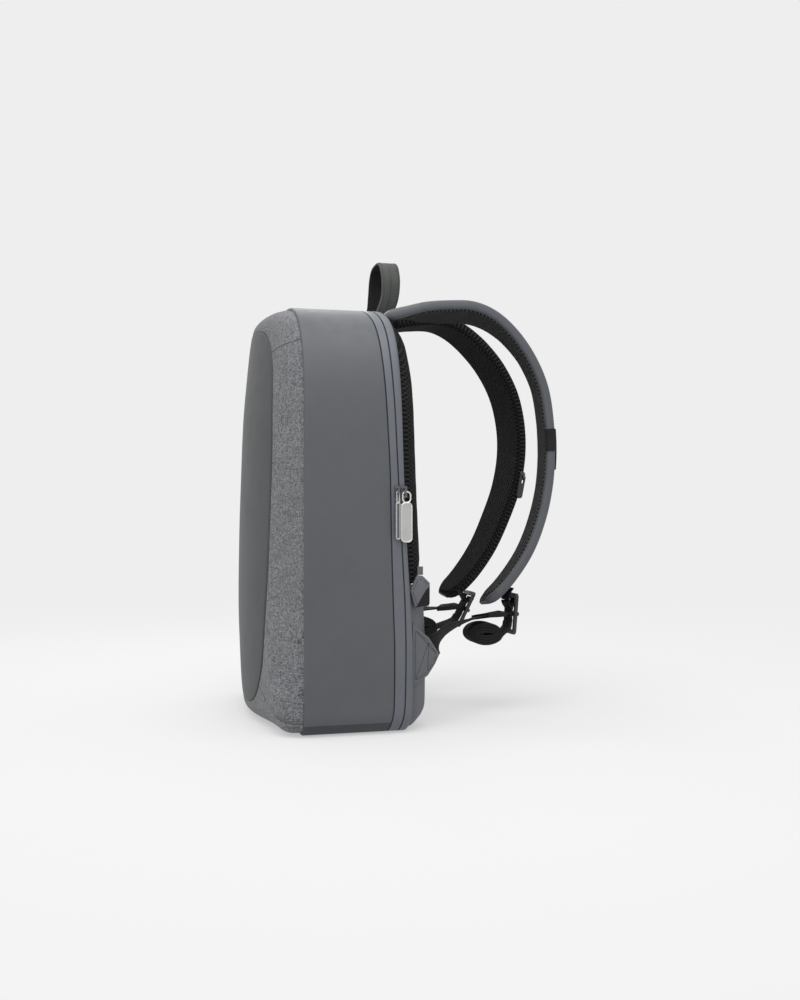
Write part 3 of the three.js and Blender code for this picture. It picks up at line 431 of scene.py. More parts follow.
class Graph:
    """Short calls for adding shader nodes to a tree and joining them."""

    def __init__(self, tree: bpy.types.NodeTree) -> None:
        """Keeps the tree and counts its nodes to lay them out."""
        self.tree = tree
        self.count = 0

    def node(
        self, kind: str, inputs: dict[object, object] | None = None, **settings: object
    ) -> bpy.types.Node:
        """Adds a node.

        Args:
            kind: type name of the node.
            inputs: sockets or values for its inputs by name or index.
            settings: properties of the node.

        Returns:
            The new node.
        """
        made = self.tree.nodes.new(kind)
        made.location = (220 * (self.count % 8), -260 * (self.count // 8))
        self.count += 1
        for key, value in settings.items():
            setattr(made, key, value)
        for key, value in (inputs or {}).items():
            self.feed(made.inputs[key], value)
        return made

    def feed(self, socket: bpy.types.NodeSocket, value: object) -> None:
        """Links a socket, or sets a plain value on it."""
        if isinstance(value, bpy.types.NodeSocket):
            self.tree.links.new(value, socket)
        elif isinstance(value, tuple) and len(value) == 3 and socket.type == "RGBA":
            socket.default_value = (*value, 1.0)
        else:
            socket.default_value = value

    def effect(self, tree: bpy.types.NodeTree, **inputs: object) -> Outputs:
        """Places a shared group with values of its own and gives its outputs."""
        return self.node("ShaderNodeGroup", inputs, node_tree=tree).outputs

    def math(self, operation: str, *values: object) -> bpy.types.NodeSocket:
        """Result of a math node on sockets or numbers."""
        return self.node("ShaderNodeMath", dict(enumerate(values)), operation=operation).outputs[0]

    def vector(self, operation: str, *values: object, output: str = "Vector") -> bpy.types.NodeSocket:
        """Result of a vector math node on sockets or tuples."""
        return self.node("ShaderNodeVectorMath", dict(enumerate(values)), operation=operation).outputs[output]

    def plus(self, first: object, second: object) -> bpy.types.NodeSocket:
        """Sum of two values."""
        return self.math("ADD", first, second)

    def minus(self, first: object, second: object) -> bpy.types.NodeSocket:
        """First value less the second."""
        return self.math("SUBTRACT", first, second)

    def times(self, first: object, second: object) -> bpy.types.NodeSocket:
        """Product of two values."""
        return self.math("MULTIPLY", first, second)

    def over(self, first: object, second: object) -> bpy.types.NodeSocket:
        """First value divided by the second."""
        return self.math("DIVIDE", first, second)

    def away(self, value: object, spot: object) -> bpy.types.NodeSocket:
        """Distance of a value from a spot."""
        return self.math("ABSOLUTE", self.minus(value, spot))

    def axes(self, vector: object) -> tuple[bpy.types.NodeSocket, ...]:
        """The three parts of a vector."""
        return tuple(self.node("ShaderNodeSeparateXYZ", {"Vector": vector}).outputs)

    def flat(self, x: object, y: object) -> bpy.types.NodeSocket:
        """Vector of two parts."""
        return self.node("ShaderNodeCombineXYZ", {"X": x, "Y": y}).outputs[0]

    def noise(self, vector: object, scale: object, detail: float) -> bpy.types.NodeSocket:
        """Soft noise of a scale and detail."""
        made = self.node("ShaderNodeTexNoise", {"Vector": vector, "Scale": scale, "Detail": detail})
        return made.outputs["Fac"]

    def blend(self, share: object, low: object, high: object) -> bpy.types.NodeSocket:
        """Mix of two colours by a share."""
        return self.node("ShaderNodeMix", {0: share, 6: low, 7: high}, data_type="RGBA").outputs[2]

    def ramp(
        self, value: object, low: float, high: float, to_low: float = 0.0, to_high: float = 1.0
    ) -> bpy.types.NodeSocket:
        """Smooth step of a value between two limits."""
        limits = {"From Min": low, "From Max": high, "To Min": to_low, "To Max": to_high}
        made = self.node("ShaderNodeMapRange", {"Value": value, **limits}, interpolation_type="SMOOTHSTEP")
        return made.outputs["Result"]

    def fading(self, value: object, low: float, high: float) -> bpy.types.NodeSocket:
        """Smooth step that falls from one to none between two limits."""
        return self.ramp(value, low, high, 1.0, 0.0)


Fill = Callable[[Graph, Outputs], Sockets]


def shared_effect(name: str, inputs: str, outputs: str) -> Callable[[Fill], Callable[[], bpy.types.NodeTree]]:
    """Makes a shader group of the function below it, once, when a finish first asks for it.

    Args:
        name: name of the group.
        inputs: titles of its inputs.
        outputs: titles of its outputs.

    Returns:
        A decorator for the function that builds the inside of the group.
    """

    def decorate(fill: Fill) -> Callable[[], bpy.types.NodeTree]:
        """Keeps the function that builds the inside."""

        @cache
        def group() -> bpy.types.NodeTree:
            """Makes the group, with the socket type that goes with each title."""
            tree = bpy.data.node_groups.new(name, "ShaderNodeTree")
            for way, titles in (("INPUT", inputs), ("OUTPUT", outputs)):
                for title in titles.split():
                    kind = SOCKET_KINDS.get(title, "NodeSocketFloat")
                    tree.interface.new_socket(title, in_out=way, socket_type=kind)
            graph = Graph(tree)
            entry, leave = graph.node("NodeGroupInput"), graph.node("NodeGroupOutput")
            for title, socket in fill(graph, entry.outputs).items():
                graph.feed(leave.inputs[title], socket)
            return tree

        return group

    return decorate


@shared_effect("surface_clouds", "Vector Color Shade Scale Amount", "Color Mask")
def cloud_effect(graph: Graph, out: Outputs) -> Sockets:
    """Slow change of colour over a surface, with finer mottling in it."""
    wide = graph.noise(out["Vector"], out["Scale"], 3.0)
    fine = graph.noise(out["Vector"], graph.times(out["Scale"], 9.0), 4.0)
    both = graph.math("MULTIPLY_ADD", fine, 0.35, graph.times(wide, 0.65))
    mask = graph.times(graph.ramp(both, 0.36, 0.64), out["Amount"])
    return {"Color": graph.blend(mask, out["Color"], out["Shade"]), "Mask": mask}


@shared_effect("fine_grain", "Vector Scale", "Height")
def grain_effect(graph: Graph, out: Outputs) -> Sockets:
    """Fine pebbled grain of a coated or moulded surface."""
    cells = graph.node("ShaderNodeTexVoronoi", {"Vector": out["Vector"], "Scale": out["Scale"]})
    fine = graph.noise(out["Vector"], graph.times(out["Scale"], 2.3), 2.0)
    cell_height = graph.ramp(cells.outputs["Distance"], 0.15, 0.75)
    return {"Height": graph.math("MULTIPLY_ADD", fine, 0.5, cell_height)}


@shared_effect("plain_weave", "Vector Pitch Run", "Height Speckle")
def weave_effect(graph: Graph, out: Outputs) -> Sockets:
    """Plain weave with threads that change shade from one to the next."""
    x, y, _ = graph.axes(out["Vector"])
    u, v = graph.over(x, out["Pitch"]), graph.over(y, out["Pitch"])
    cell_u, cell_v = graph.math("FLOOR", u), graph.math("FLOOR", v)
    warp_on_top = graph.math("FLOORED_MODULO", graph.plus(cell_u, cell_v), 2.0)
    weft_on_top = graph.minus(1.0, warp_on_top)

    def crossing(warp: bpy.types.NodeSocket, weft: bpy.types.NodeSocket) -> bpy.types.NodeSocket:
        """Value of the thread that lies on top."""
        return graph.plus(graph.times(warp, warp_on_top), graph.times(weft, weft_on_top))

    def arch(place: bpy.types.NodeSocket) -> bpy.types.NodeSocket:
        """Rounded height over one crossing."""
        return graph.math("SINE", graph.times(graph.math("FRACT", place), math.pi))

    def thread(across: bpy.types.NodeSocket, along: bpy.types.NodeSocket) -> bpy.types.NodeSocket:
        """Random shade that lasts for a few crossings of one thread."""
        place = graph.flat(across, graph.math("FLOOR", graph.over(along, out["Run"])))
        noise = graph.node("ShaderNodeTexWhiteNoise", {"Vector": place}, noise_dimensions="2D")
        return noise.outputs["Value"]

    return {
        "Height": crossing(arch(u), arch(v)),
        "Speckle": crossing(thread(cell_u, cell_v), thread(cell_v, cell_u)),
    }


@shared_effect("webbing_ribs", "Vector Pitch Column", "Height")
def rib_effect(graph: Graph, out: Outputs) -> Sockets:
    """Ribs of narrow webbing that lean to both sides of its middle."""
    x, y, _ = graph.axes(out["Vector"])
    column = graph.math("PINGPONG", x, out["Column"])
    wave = graph.math("SINE", graph.times(graph.over(graph.plus(y, column), out["Pitch"]), 2 * math.pi))
    valley = graph.ramp(graph.away(column, out["Column"]), 0.0, 0.0004)
    return {"Height": graph.times(graph.math("MULTIPLY_ADD", wave, 0.5, 0.5), valley)}


@shared_effect("mesh_cells", "Vector Pitch", "Hole")
def cell_effect(graph: Graph, out: Outputs) -> Sockets:
    """Open round cells of a knitted spacer mesh, the nearer of two interleaved grids."""
    x, y, _ = graph.axes(out["Vector"])
    place = graph.flat(graph.over(x, out["Pitch"]), graph.over(y, out["Pitch"]))

    def distance(shift: float) -> bpy.types.NodeSocket:
        """Distance to the middle of the cell in one grid."""
        cell = graph.vector("FRACTION", graph.vector("ADD", place, (shift, shift, 0.0)))
        return graph.vector("LENGTH", graph.vector("SUBTRACT", cell, (0.5, 0.5, 0.0)), output="Value")

    return {"Hole": graph.fading(graph.math("MINIMUM", distance(0.0), distance(0.5)), 0.2, 0.36)}


@shared_effect("settled_dust", "Vector Color Dust Amount", "Color")
def dust_effect(graph: Graph, out: Outputs) -> Sockets:
    """Pale dust on faces that look up, broken up by noise."""
    upward = graph.axes(graph.node("ShaderNodeNewGeometry").outputs["Normal"])[2]
    specks = graph.times(graph.ramp(upward, 0.2, 1.0), graph.noise(out["Vector"], 60.0, 5.0))
    return {"Color": graph.blend(graph.times(specks, out["Amount"]), out["Color"], out["Dust"])}


@shared_effect("cloth_cut", "Vector Along", "Vector")
def cut_effect(graph: Graph, out: Outputs) -> Sockets:
    """Flat thread coordinates of the cloth: upright at the sides, along the edge at crown and foot."""
    x, y, z = graph.axes(out["Vector"])
    wide = graph.math("ABSOLUTE", x)
    side = graph.plus(graph.times(wide, 0.83), graph.times(y, 0.55))
    above = graph.math("GREATER_THAN", graph.minus(z, graph.times(wide, CROWN_SEAM[0])), CROWN_SEAM[1])
    below = graph.math("LESS_THAN", graph.minus(z, graph.times(wide, FOOT_SEAM[0])), FOOT_SEAM[1])
    folded = graph.math("MAXIMUM", above, below)
    ways = {0: folded, 4: graph.flat(side, z), 5: out["Along"]}
    return {"Vector": graph.node("ShaderNodeMix", ways, data_type="VECTOR").outputs[1]}


@shared_effect("sloping_seam", "Vector Slope Level Width", "Mask")
def seam_effect(graph: Graph, out: Outputs) -> Sockets:
    """Sewn line across the bag, level at the middle and sloping to both sides."""
    x, _, z = graph.axes(out["Vector"])
    height = graph.minus(z, graph.times(graph.math("ABSOLUTE", x), out["Slope"]))
    return {"Mask": graph.fading(graph.over(graph.away(height, out["Level"]), out["Width"]), 0.4, 1.0)}


@dataclass(frozen=True)
class Finish:
    """Base of all finishes: a name, the record's slot and a main colour."""

    name: str
    slot: str
    color: Rgb
    shade: Rgb
    roughness: float = 0.6
    dust: Rgb = (0.5, 0.5, 0.49)
    dust_amount: float = 0.12
    cloud_scale: float = 7.0
    cloud_amount: float = 0.5
    line_dark: float = 0.7
    line_deep: float = 4.0

    def start(self) -> tuple[bpy.types.Material, Graph, bpy.types.Node, Outputs]:
        """Makes an empty material.

        Returns:
            The material, its graph, its main shader and its coordinates.
        """
        material = bpy.data.materials.new(self.name)
        material.use_nodes = True
        material.node_tree.nodes.clear()
        graph = Graph(material.node_tree)
        shader = graph.node("ShaderNodeBsdfPrincipled")
        shader.inputs["Roughness"].default_value = self.roughness
        output = graph.node("ShaderNodeOutputMaterial")
        graph.feed(output.inputs["Surface"], shader.outputs[0])
        return material, graph, shader, graph.node("ShaderNodeTexCoord").outputs

    def clouded(self, graph: Graph, place: Outputs, color: object, shade: Rgb) -> Outputs:
        """Colour that drifts into a shade, and the mask of that drift."""
        inputs = {"Color": color, "Shade": shade, "Scale": self.cloud_scale, "Amount": self.cloud_amount}
        return graph.effect(cloud_effect(), Vector=place["Object"], **inputs)

    def sunk(
        self, graph: Graph, color: object, height: object, line: object
    ) -> tuple[bpy.types.NodeSocket, bpy.types.NodeSocket]:
        """Colour and height of a surface that is darker and lower along a line.

        Args:
            graph: graph of the material.
            color: colour of the surface.
            height: height of the surface.
            line: mask of the line.

        Returns:
            The new colour and height.
        """
        darker = graph.blend(graph.times(line, self.line_dark), color, self.shade)
        return darker, graph.minus(height, graph.times(line, self.line_deep))

    def bump(self, graph: Graph, shader: bpy.types.Node, height: object, distance: float) -> None:
        """Gives the shader relief of a given depth in metres."""
        made = graph.node("ShaderNodeBump", {"Height": height, "Distance": distance, "Strength": 1.0})
        graph.feed(shader.inputs["Normal"], made.outputs["Normal"])

    def dusted(self, graph: Graph, place: Outputs, color: object) -> bpy.types.NodeSocket:
        """Colour with this finish's dust on it."""
        inputs = {"Color": color, "Dust": self.dust, "Amount": self.dust_amount}
        return graph.effect(dust_effect(), Vector=place["Object"], **inputs)["Color"]

    def paint(self, graph: Graph, shader: bpy.types.Node, place: Outputs, color: object) -> None:
        """Gives the shader a colour with dust on it."""
        graph.feed(shader.inputs["Base Color"], self.dusted(graph, place, color))

    def build(self) -> bpy.types.Material:
        """Makes the material."""
        raise NotImplementedError


@dataclass(frozen=True)
class CoatedFinish(Finish):
    """Smooth coated synthetic with a fine grain and slow changes of shade."""

    grain_scale: float = 1500
    grain_depth: float = 0.00005
    edge_line: float = 0.0
    line_from: float = 0.0004
    line_to: float = 0.0012
    line_dark: float = 0.45
    line_deep: float = 6.0
    worn_smooth: float = 0.05
    worn_rough: float = 0.06

    def build(self) -> bpy.types.Material:
        """Makes the coated material."""
        material, graph, shader, place = self.start()
        clouds = self.clouded(graph, place, self.color, self.shade)
        color = self.dusted(graph, place, clouds["Color"])
        height = graph.effect(grain_effect(), Vector=place["Object"], Scale=self.grain_scale)["Height"]
        if self.edge_line:
            away = graph.away(graph.math("ABSOLUTE", graph.axes(place["UV"])[0]), self.edge_line)
            line = graph.fading(away, self.line_from, self.line_to)
            color, height = self.sunk(graph, color, height, line)
        graph.feed(shader.inputs["Base Color"], color)
        low, high = self.roughness - self.worn_smooth, self.roughness + self.worn_rough
        graph.feed(shader.inputs["Roughness"], graph.ramp(clouds["Mask"], 0.0, 1.0, low, high))
        self.bump(graph, shader, height, self.grain_depth)
        return material


@dataclass(frozen=True)
class HeatherFinish(Finish):
    """Two-tone woven cloth with sewn lines across it."""

    light: Rgb = (0.26, 0.265, 0.28)
    pitch: float = 0.00055
    coarse: float = 1.6
    run: float = 3.0
    seam_widths: Pair = (0.0011, 0.0009)
    fine_share: float = 0.5
    coarse_share: float = 0.55
    dark_below: float = 0.24
    light_above: float = 0.84
    cloud_scale: float = 5.0
    cloud_amount: float = 0.3
    sheen: float = 0.15
    sheen_roughness: float = 0.5
    relief: float = 0.00016

    def build(self) -> bpy.types.Material:
        """Makes the woven material."""
        material, graph, shader, place = self.start()
        flat = graph.effect(cut_effect(), Vector=place["Object"], Along=place["UV"])["Vector"]
        weave, threads = (
            graph.effect(weave_effect(), Vector=flat, Pitch=self.pitch * share, Run=self.run)
            for share in (1.0, self.coarse)
        )
        fine = graph.times(weave["Speckle"], self.fine_share)
        mixed = graph.math("MULTIPLY_ADD", threads["Speckle"], self.coarse_share, fine)
        tone = graph.ramp(mixed, self.dark_below, self.light_above)
        color = self.clouded(graph, place, graph.blend(tone, self.shade, self.light), self.color)["Color"]
        height = weave["Height"]
        for (slope, level), width in zip((CROWN_SEAM, FOOT_SEAM), self.seam_widths):
            line = graph.effect(seam_effect(), Vector=place["Object"], Slope=slope, Level=level, Width=width)
            color, height = self.sunk(graph, color, height, line["Mask"])
        self.paint(graph, shader, place, color)
        shader.inputs["Sheen Weight"].default_value = self.sheen
        shader.inputs["Sheen Roughness"].default_value = self.sheen_roughness
        self.bump(graph, shader, height, self.relief)
        return material


@dataclass(frozen=True)
class MeshFinish(Finish):
    """Near-black knitted spacer mesh with open cells, which are painted near-black as the shade inside them.
    """

    pitch: float = 0.0046
    thread_pitch: float = 0.0007
    thread_run: float = 3.0
    thread_light: float = 0.3
    thread_height: float = 0.15
    # Colour of the open cells: the cells are real, their near-black is painted shade of the depth under them.
    hole: Rgb = (0.002, 0.002, 0.002)
    shaded_hole_share: float = 0.95
    cloud_scale: float = 25.0
    specular: float = 0.15
    relief: float = 0.0009

    def build(self) -> bpy.types.Material:
        """Makes the mesh material."""
        material, graph, shader, place = self.start()
        hole = graph.effect(cell_effect(), Vector=place["UV"], Pitch=self.pitch)["Hole"]
        weave = graph.effect(
            weave_effect(), Vector=place["UV"], Pitch=self.thread_pitch, Run=self.thread_run
        )
        clouds = self.clouded(graph, place, self.color, self.shade)
        lit = graph.blend(graph.times(weave["Speckle"], self.thread_light), clouds["Color"], self.dust)
        # Open cells painted near-black: painted shade in the cells.
        self.paint(graph, shader, place, graph.blend(graph.times(hole, self.shaded_hole_share), lit, self.hole))
        shader.inputs["Specular IOR Level"].default_value = self.specular
        height = graph.math("MULTIPLY_ADD", weave["Height"], self.thread_height, graph.minus(1.0, hole))
        self.bump(graph, shader, height, self.relief)
        return material


@dataclass(frozen=True)
class WebbingFinish(Finish):
    """Ribbed webbing, with a sewn line along its middle where it has one."""

    pitch: float = 0.0016
    column: float = 0.0031
    middle_line: float = 0.0
    line_core: float = 0.4
    line_deep: float = 1.6
    cloud_scale: float = 40.0
    cloud_amount: float = 0.4
    specular: float = 0.2
    relief: float = 0.0003

    def build(self) -> bpy.types.Material:
        """Makes the webbing material."""
        material, graph, shader, place = self.start()
        ribs = graph.effect(rib_effect(), Vector=place["UV"], Pitch=self.pitch, Column=self.column)
        height = ribs["Height"]
        # Darker in the valleys between the ribs and lighter on their tops: painted shade that follows the
        # relief.
        color = graph.blend(height, self.shade, self.color)
        color = self.clouded(graph, place, color, self.shade)["Color"]
        if self.middle_line:
            away = graph.math("ABSOLUTE", graph.axes(place["UV"])[0])
            line = graph.fading(away, self.middle_line * self.line_core, self.middle_line)
            color, height = self.sunk(graph, color, height, line)
        self.paint(graph, shader, place, color)
        shader.inputs["Specular IOR Level"].default_value = self.specular
        self.bump(graph, shader, height, self.relief)
        return material


@dataclass(frozen=True)
class HardFinish(Finish):
    """Moulded plastic or plated metal with fine grain and slight wear."""

    metallic: float = 0.0
    grain_scale: float = 2600
    grain_depth: float = 0.00003
    rough_spread: float = 0.1
    cloud_scale: float = 90.0

    def build(self) -> bpy.types.Material:
        """Makes the hard material."""
        material, graph, shader, place = self.start()
        clouds = self.clouded(graph, place, self.color, self.shade)
        self.paint(graph, shader, place, clouds["Color"])
        low, high = self.roughness - self.rough_spread / 2, self.roughness + self.rough_spread / 2
        graph.feed(shader.inputs["Roughness"], graph.ramp(clouds["Mask"], 0.0, 0.5, low, high))
        shader.inputs["Metallic"].default_value = self.metallic
        grain = graph.effect(grain_effect(), Vector=place["Object"], Scale=self.grain_scale)
        self.bump(graph, shader, grain["Height"], self.grain_depth)
        return material


SLATE = CoatedFinish("slate_coated", "slate_synthetic", (0.071, 0.0755, 0.083), (0.061, 0.066, 0.076), 0.58)
DARK_SLATE = CoatedFinish(
    "dark_slate_coated", "dark_synthetic", (0.098, 0.101, 0.113), (0.082, 0.086, 0.097), 0.6
)
BASE_STRIP = CoatedFinish(
    "base_strip_coated", "dark_synthetic", (0.032, 0.034, 0.043), (0.024, 0.026, 0.034), 0.62
)
PANEL = CoatedFinish("panel_coated", "panel_synthetic", (0.044, 0.047, 0.049), (0.037, 0.041, 0.044), 0.56)
BAND = CoatedFinish("band_coated", "band_synthetic", (0.1, 0.107, 0.124), (0.079, 0.086, 0.105), 0.5)
# Darker coat for the faces that turn into the grooves between the side walls: painted groove shadow.
GROOVE_SHADOW = CoatedFinish(
    "groove_shadow", "band_synthetic", (0.03, 0.033, 0.04), (0.022, 0.024, 0.03), 0.75, dust_amount=0.02
)
STRAP_FACE = CoatedFinish(
    "strap_coated", "strap_synthetic", (0.07, 0.075, 0.085), (0.056, 0.061, 0.072), 0.55, edge_line=0.0235
)
HEATHER = HeatherFinish("heather_weave", "heather_cloth", (0.1, 0.104, 0.113), (0.03, 0.032, 0.037), 0.92)
SPACER = MeshFinish(
    "spacer_mesh", "spacer_mesh", (0.021, 0.022, 0.021), (0.014, 0.015, 0.014), 0.95,
    (0.04, 0.041, 0.04), 0.08,
)
# Lighter copy of the spacer mesh for the near strap: painted light, the same mesh as on the back made
# brighter as if lit.
LIT_LINING = MeshFinish(
    "lit_strap_mesh_lining", "spacer_mesh", (0.062, 0.064, 0.062), (0.046, 0.048, 0.046), 0.95,
    (0.1, 0.101, 0.1), 0.08,
)
GREY_WEB = WebbingFinish(
    "grey_webbing", "grey_webbing", (0.098, 0.102, 0.098), (0.045, 0.047, 0.045), 0.88, middle_line=0.0012
)
BLACK_WEB = WebbingFinish(
    "black_webbing", "black_webbing", (0.024, 0.025, 0.024), (0.009, 0.009, 0.009), 0.85, dust_amount=0.03
)
THREAD = WebbingFinish(
    "sewing_thread", "black_webbing", (0.06, 0.062, 0.065), (0.03, 0.03, 0.032), 0.7,
    pitch=0.0004, column=0.0004,
)
PLASTIC = HardFinish(
    "black_plastic", "black_plastic", (0.02, 0.021, 0.021), (0.012, 0.012, 0.012), 0.42, dust_amount=0.05
)
SILVER = HardFinish(
    "satin_silver", "satin_silver", (0.74, 0.74, 0.72), (0.6, 0.6, 0.59), 0.36,
    metallic=1.0, grain_depth=0.00001,
)
RECESS = HardFinish(
    "silver_recess", "satin_silver", (0.5, 0.5, 0.495), (0.42, 0.42, 0.415), 0.5,
    metallic=1.0, grain_depth=0.00002,
)
GUNMETAL = HardFinish("gunmetal", "gunmetal", (0.16, 0.16, 0.165), (0.1, 0.1, 0.105), 0.38, metallic=1.0)


class Wardrobe:
    """Materials of all finishes, each made once and put on pieces or nodes."""

    def __init__(self) -> None:
        """Starts with no material made."""
        self.materials: dict[str, bpy.types.Material] = {}

    def material(self, finish: Finish) -> bpy.types.Material:
        """Material of a finish."""
        if finish.name not in self.materials:
            self.materials[finish.name] = finish.build()
        return self.materials[finish.name]

    def dress(
        self, piece: bpy.types.Object, finish: Finish, body: Body = Body.BAG, nodes: Sequence[str] = ()
    ) -> bpy.types.Object:
        """Gives a new piece its finish, its body and the nodes that it stands for.

        Args:
            piece: the new piece.
            finish: its finish.
            body: body that it rides on.
            nodes: solids that it replaces.

        Returns:
            The same piece.
        """
        piece.data.materials.clear()
        piece.data.materials.append(self.material(finish))
        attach(piece, body.value)
        if nodes:
            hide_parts(*nodes)
        LOG.info("made %s with %d faces", piece.name, len(piece.data.polygons))
        return piece

    def keep(self, node: str, finish: Finish, bevel: float = 0.0) -> bpy.types.Object:
        """Gives a packed hard solid its finish and softly broken edges.

        Args:
            node: name of the solid.
            finish: its finish.
            bevel: width of the broken edges.

        Returns:
            The solid's object.
        """
        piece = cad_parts[node]
        piece.data.materials.clear()
        piece.data.materials.append(self.material(finish))
        if bevel:
            modifier = piece.modifiers.new("broken_edges", "BEVEL")
            modifier.width = bevel
            modifier.segments = BEVEL_STEPS
            modifier.limit_method = "ANGLE"
            modifier.angle_limit = BEVEL_FROM
            modifier.harden_normals = False
        LOG.info("kept %s", node)
        return piece


@dataclass
class BodyForm:
    """Outline of the bag from the front and the lines of its side walls."""

    width: float = 0.302
    height: float = 0.451
    base_radius: float = 0.022
    crown_depth: float = 0.150
    crown_power: float = 3.2
    seam_z: float = 0.012
    gap: float = 0.0003
    settle: float = 0.0007
    base_steps: int = 12
    corner_steps: int = 10
    side_steps: int = 46
    crown_steps: int = 60
    groove: tuple[Pair, ...] = (
        (0.0, 0.055), (0.03, 0.0595), (0.085, 0.06), (0.125, 0.0588), (0.189, 0.057),
        (0.263, 0.0555), (0.322, 0.0525), (0.38, 0.0492), (0.425, 0.0465), (0.451, 0.042),
    )
    zip_line: tuple[Pair, ...] = (
        (0.0, 0.0665), (0.03, 0.071), (0.085, 0.072), (0.125, 0.0712), (0.189, 0.068),
        (0.263, 0.064), (0.322, 0.061), (0.38, 0.058), (0.425, 0.0565), (0.451, 0.054),
    )
    rim: tuple[Pair, ...] = (
        (0.0, 0.0765), (0.03, 0.0795), (0.085, 0.0798), (0.125, 0.0782), (0.189, 0.0742),
        (0.263, 0.0708), (0.322, 0.0688), (0.38, 0.0672), (0.425, 0.0665), (0.451, 0.064),
    )

    def right_half(self, inset: float) -> np.ndarray:
        """Right half of the outline, from the middle of the base to the middle of the crown."""
        half, top, radius = self.width / 2 - inset, self.height - inset, self.base_radius - inset
        crown_z = self.height - self.crown_depth
        centre_x, centre_z = half - radius, inset + radius
        points = [(centre_x * step / self.base_steps, inset) for step in range(self.base_steps)]
        for sine, cosine in quarter_turn(self.corner_steps):
            points.append((centre_x + radius * sine, centre_z - radius * cosine))
        for step in range(1, self.side_steps + 1):
            points.append((half, centre_z + (crown_z - centre_z) * step / self.side_steps))
        for sine, cosine in quarter_turn(self.crown_steps)[1:-1]:
            x = half * cosine ** (2 / self.crown_power)
            points.append((x, crown_z + (top - crown_z) * sine ** (2 / self.crown_power)))
        points.append((0.0, top))
        return np.array(points)

    def outline(self, inset: float) -> np.ndarray:
        """Whole closed outline as x and z pairs, the walls drawn in a little at mid height."""
        right = self.right_half(inset)
        left = right[1:-1][::-1] * (-1, 1)
        loop = np.vstack([right, left])
        drawn = self.settle * np.exp(-(((loop[:, 1] - 0.2) / 0.11) ** 2))
        loop[:, 0] -= np.sign(loop[:, 0]) * drawn * (np.abs(loop[:, 0]) > self.width / 4)
        return loop

    def loop(self, inset: float, y_of: Depth) -> np.ndarray:
        """Loop of points round the bag at an inset, its depth given by height."""
        flat = self.outline(inset)
        return np.column_stack([flat[:, 0], y_of(flat[:, 1]), flat[:, 1]])

    def rim_half(self, z: np.ndarray) -> np.ndarray:
        """Half width of the bag at given heights."""
        z = np.asarray(z, float)
        half, crown_z = self.width / 2, self.height - self.crown_depth
        share = np.clip((z - crown_z) / self.crown_depth, 0, 0.9999)
        crown = half * (1 - share**self.crown_power) ** (1 / self.crown_power)
        drop = np.clip(self.base_radius - z, 0, self.base_radius)
        base = half - self.base_radius + np.sqrt(self.base_radius**2 - drop**2)
        return np.where(z < self.base_radius, base, crown)

    def rear(self, rows: tuple[Pair, ...], shift: float = 0.0) -> Depth:
        """Depth of one of the rear lines as a function of height."""
        return lambda z: smooth_value(rows, z) + shift

    def outer_face(
        self, front: Depth, rear: Depth, rounds: Pair, shares: Sequence[float], rear_steps: int = 4
    ) -> list[np.ndarray]:
        """Loops over the outer face of a wall, with both of its edges rounded.

        Args:
            front: depth of the front edge by height.
            rear: depth of the rear edge by height.
            rounds: radius of the front and of the rear edge.
            shares: places of the loops between the edges.
            rear_steps: steps round the rear edge.

        Returns:
            The loops from front to rear.
        """
        first, second = rounds
        loops = [
            self.loop(first * (1 - sine), lambda z, r=first * (1 - cosine): front(z) + r)
            for sine, cosine in quarter_turn(4)
        ]
        loops += [
            self.loop(0.0, lambda z, s=share: (front(z) + first) * (1 - s) + (rear(z) - second) * s)
            for share in shares
        ]
        loops += [
            self.loop(second * (1 - cosine), lambda z, d=second * (1 - sine): rear(z) - d)
            for sine, cosine in quarter_turn(rear_steps)
        ]
        return loops

    def wall(
        self, front: Depth, rear: Depth, wall: float, front_round: float, rear_round: float, steps: int
    ) -> np.ndarray:
        """Loops of a side wall from its rounded front edge over the outer face and back inside.

        Args:
            front: depth of the front edge by height.
            rear: depth of the rear edge by height.
            wall: thickness of the wall.
            front_round: radius of the front edge.
            rear_round: radius of the rear edge.
            steps: steps over the outer face.

        Returns:
            The loops, ready for a ring.
        """
        shares = [step / steps for step in range(1, steps)]
        loops = self.outer_face(front, rear, (front_round, rear_round), shares)
        return np.array([*loops, self.loop(wall, rear), self.loop(wall, front)])


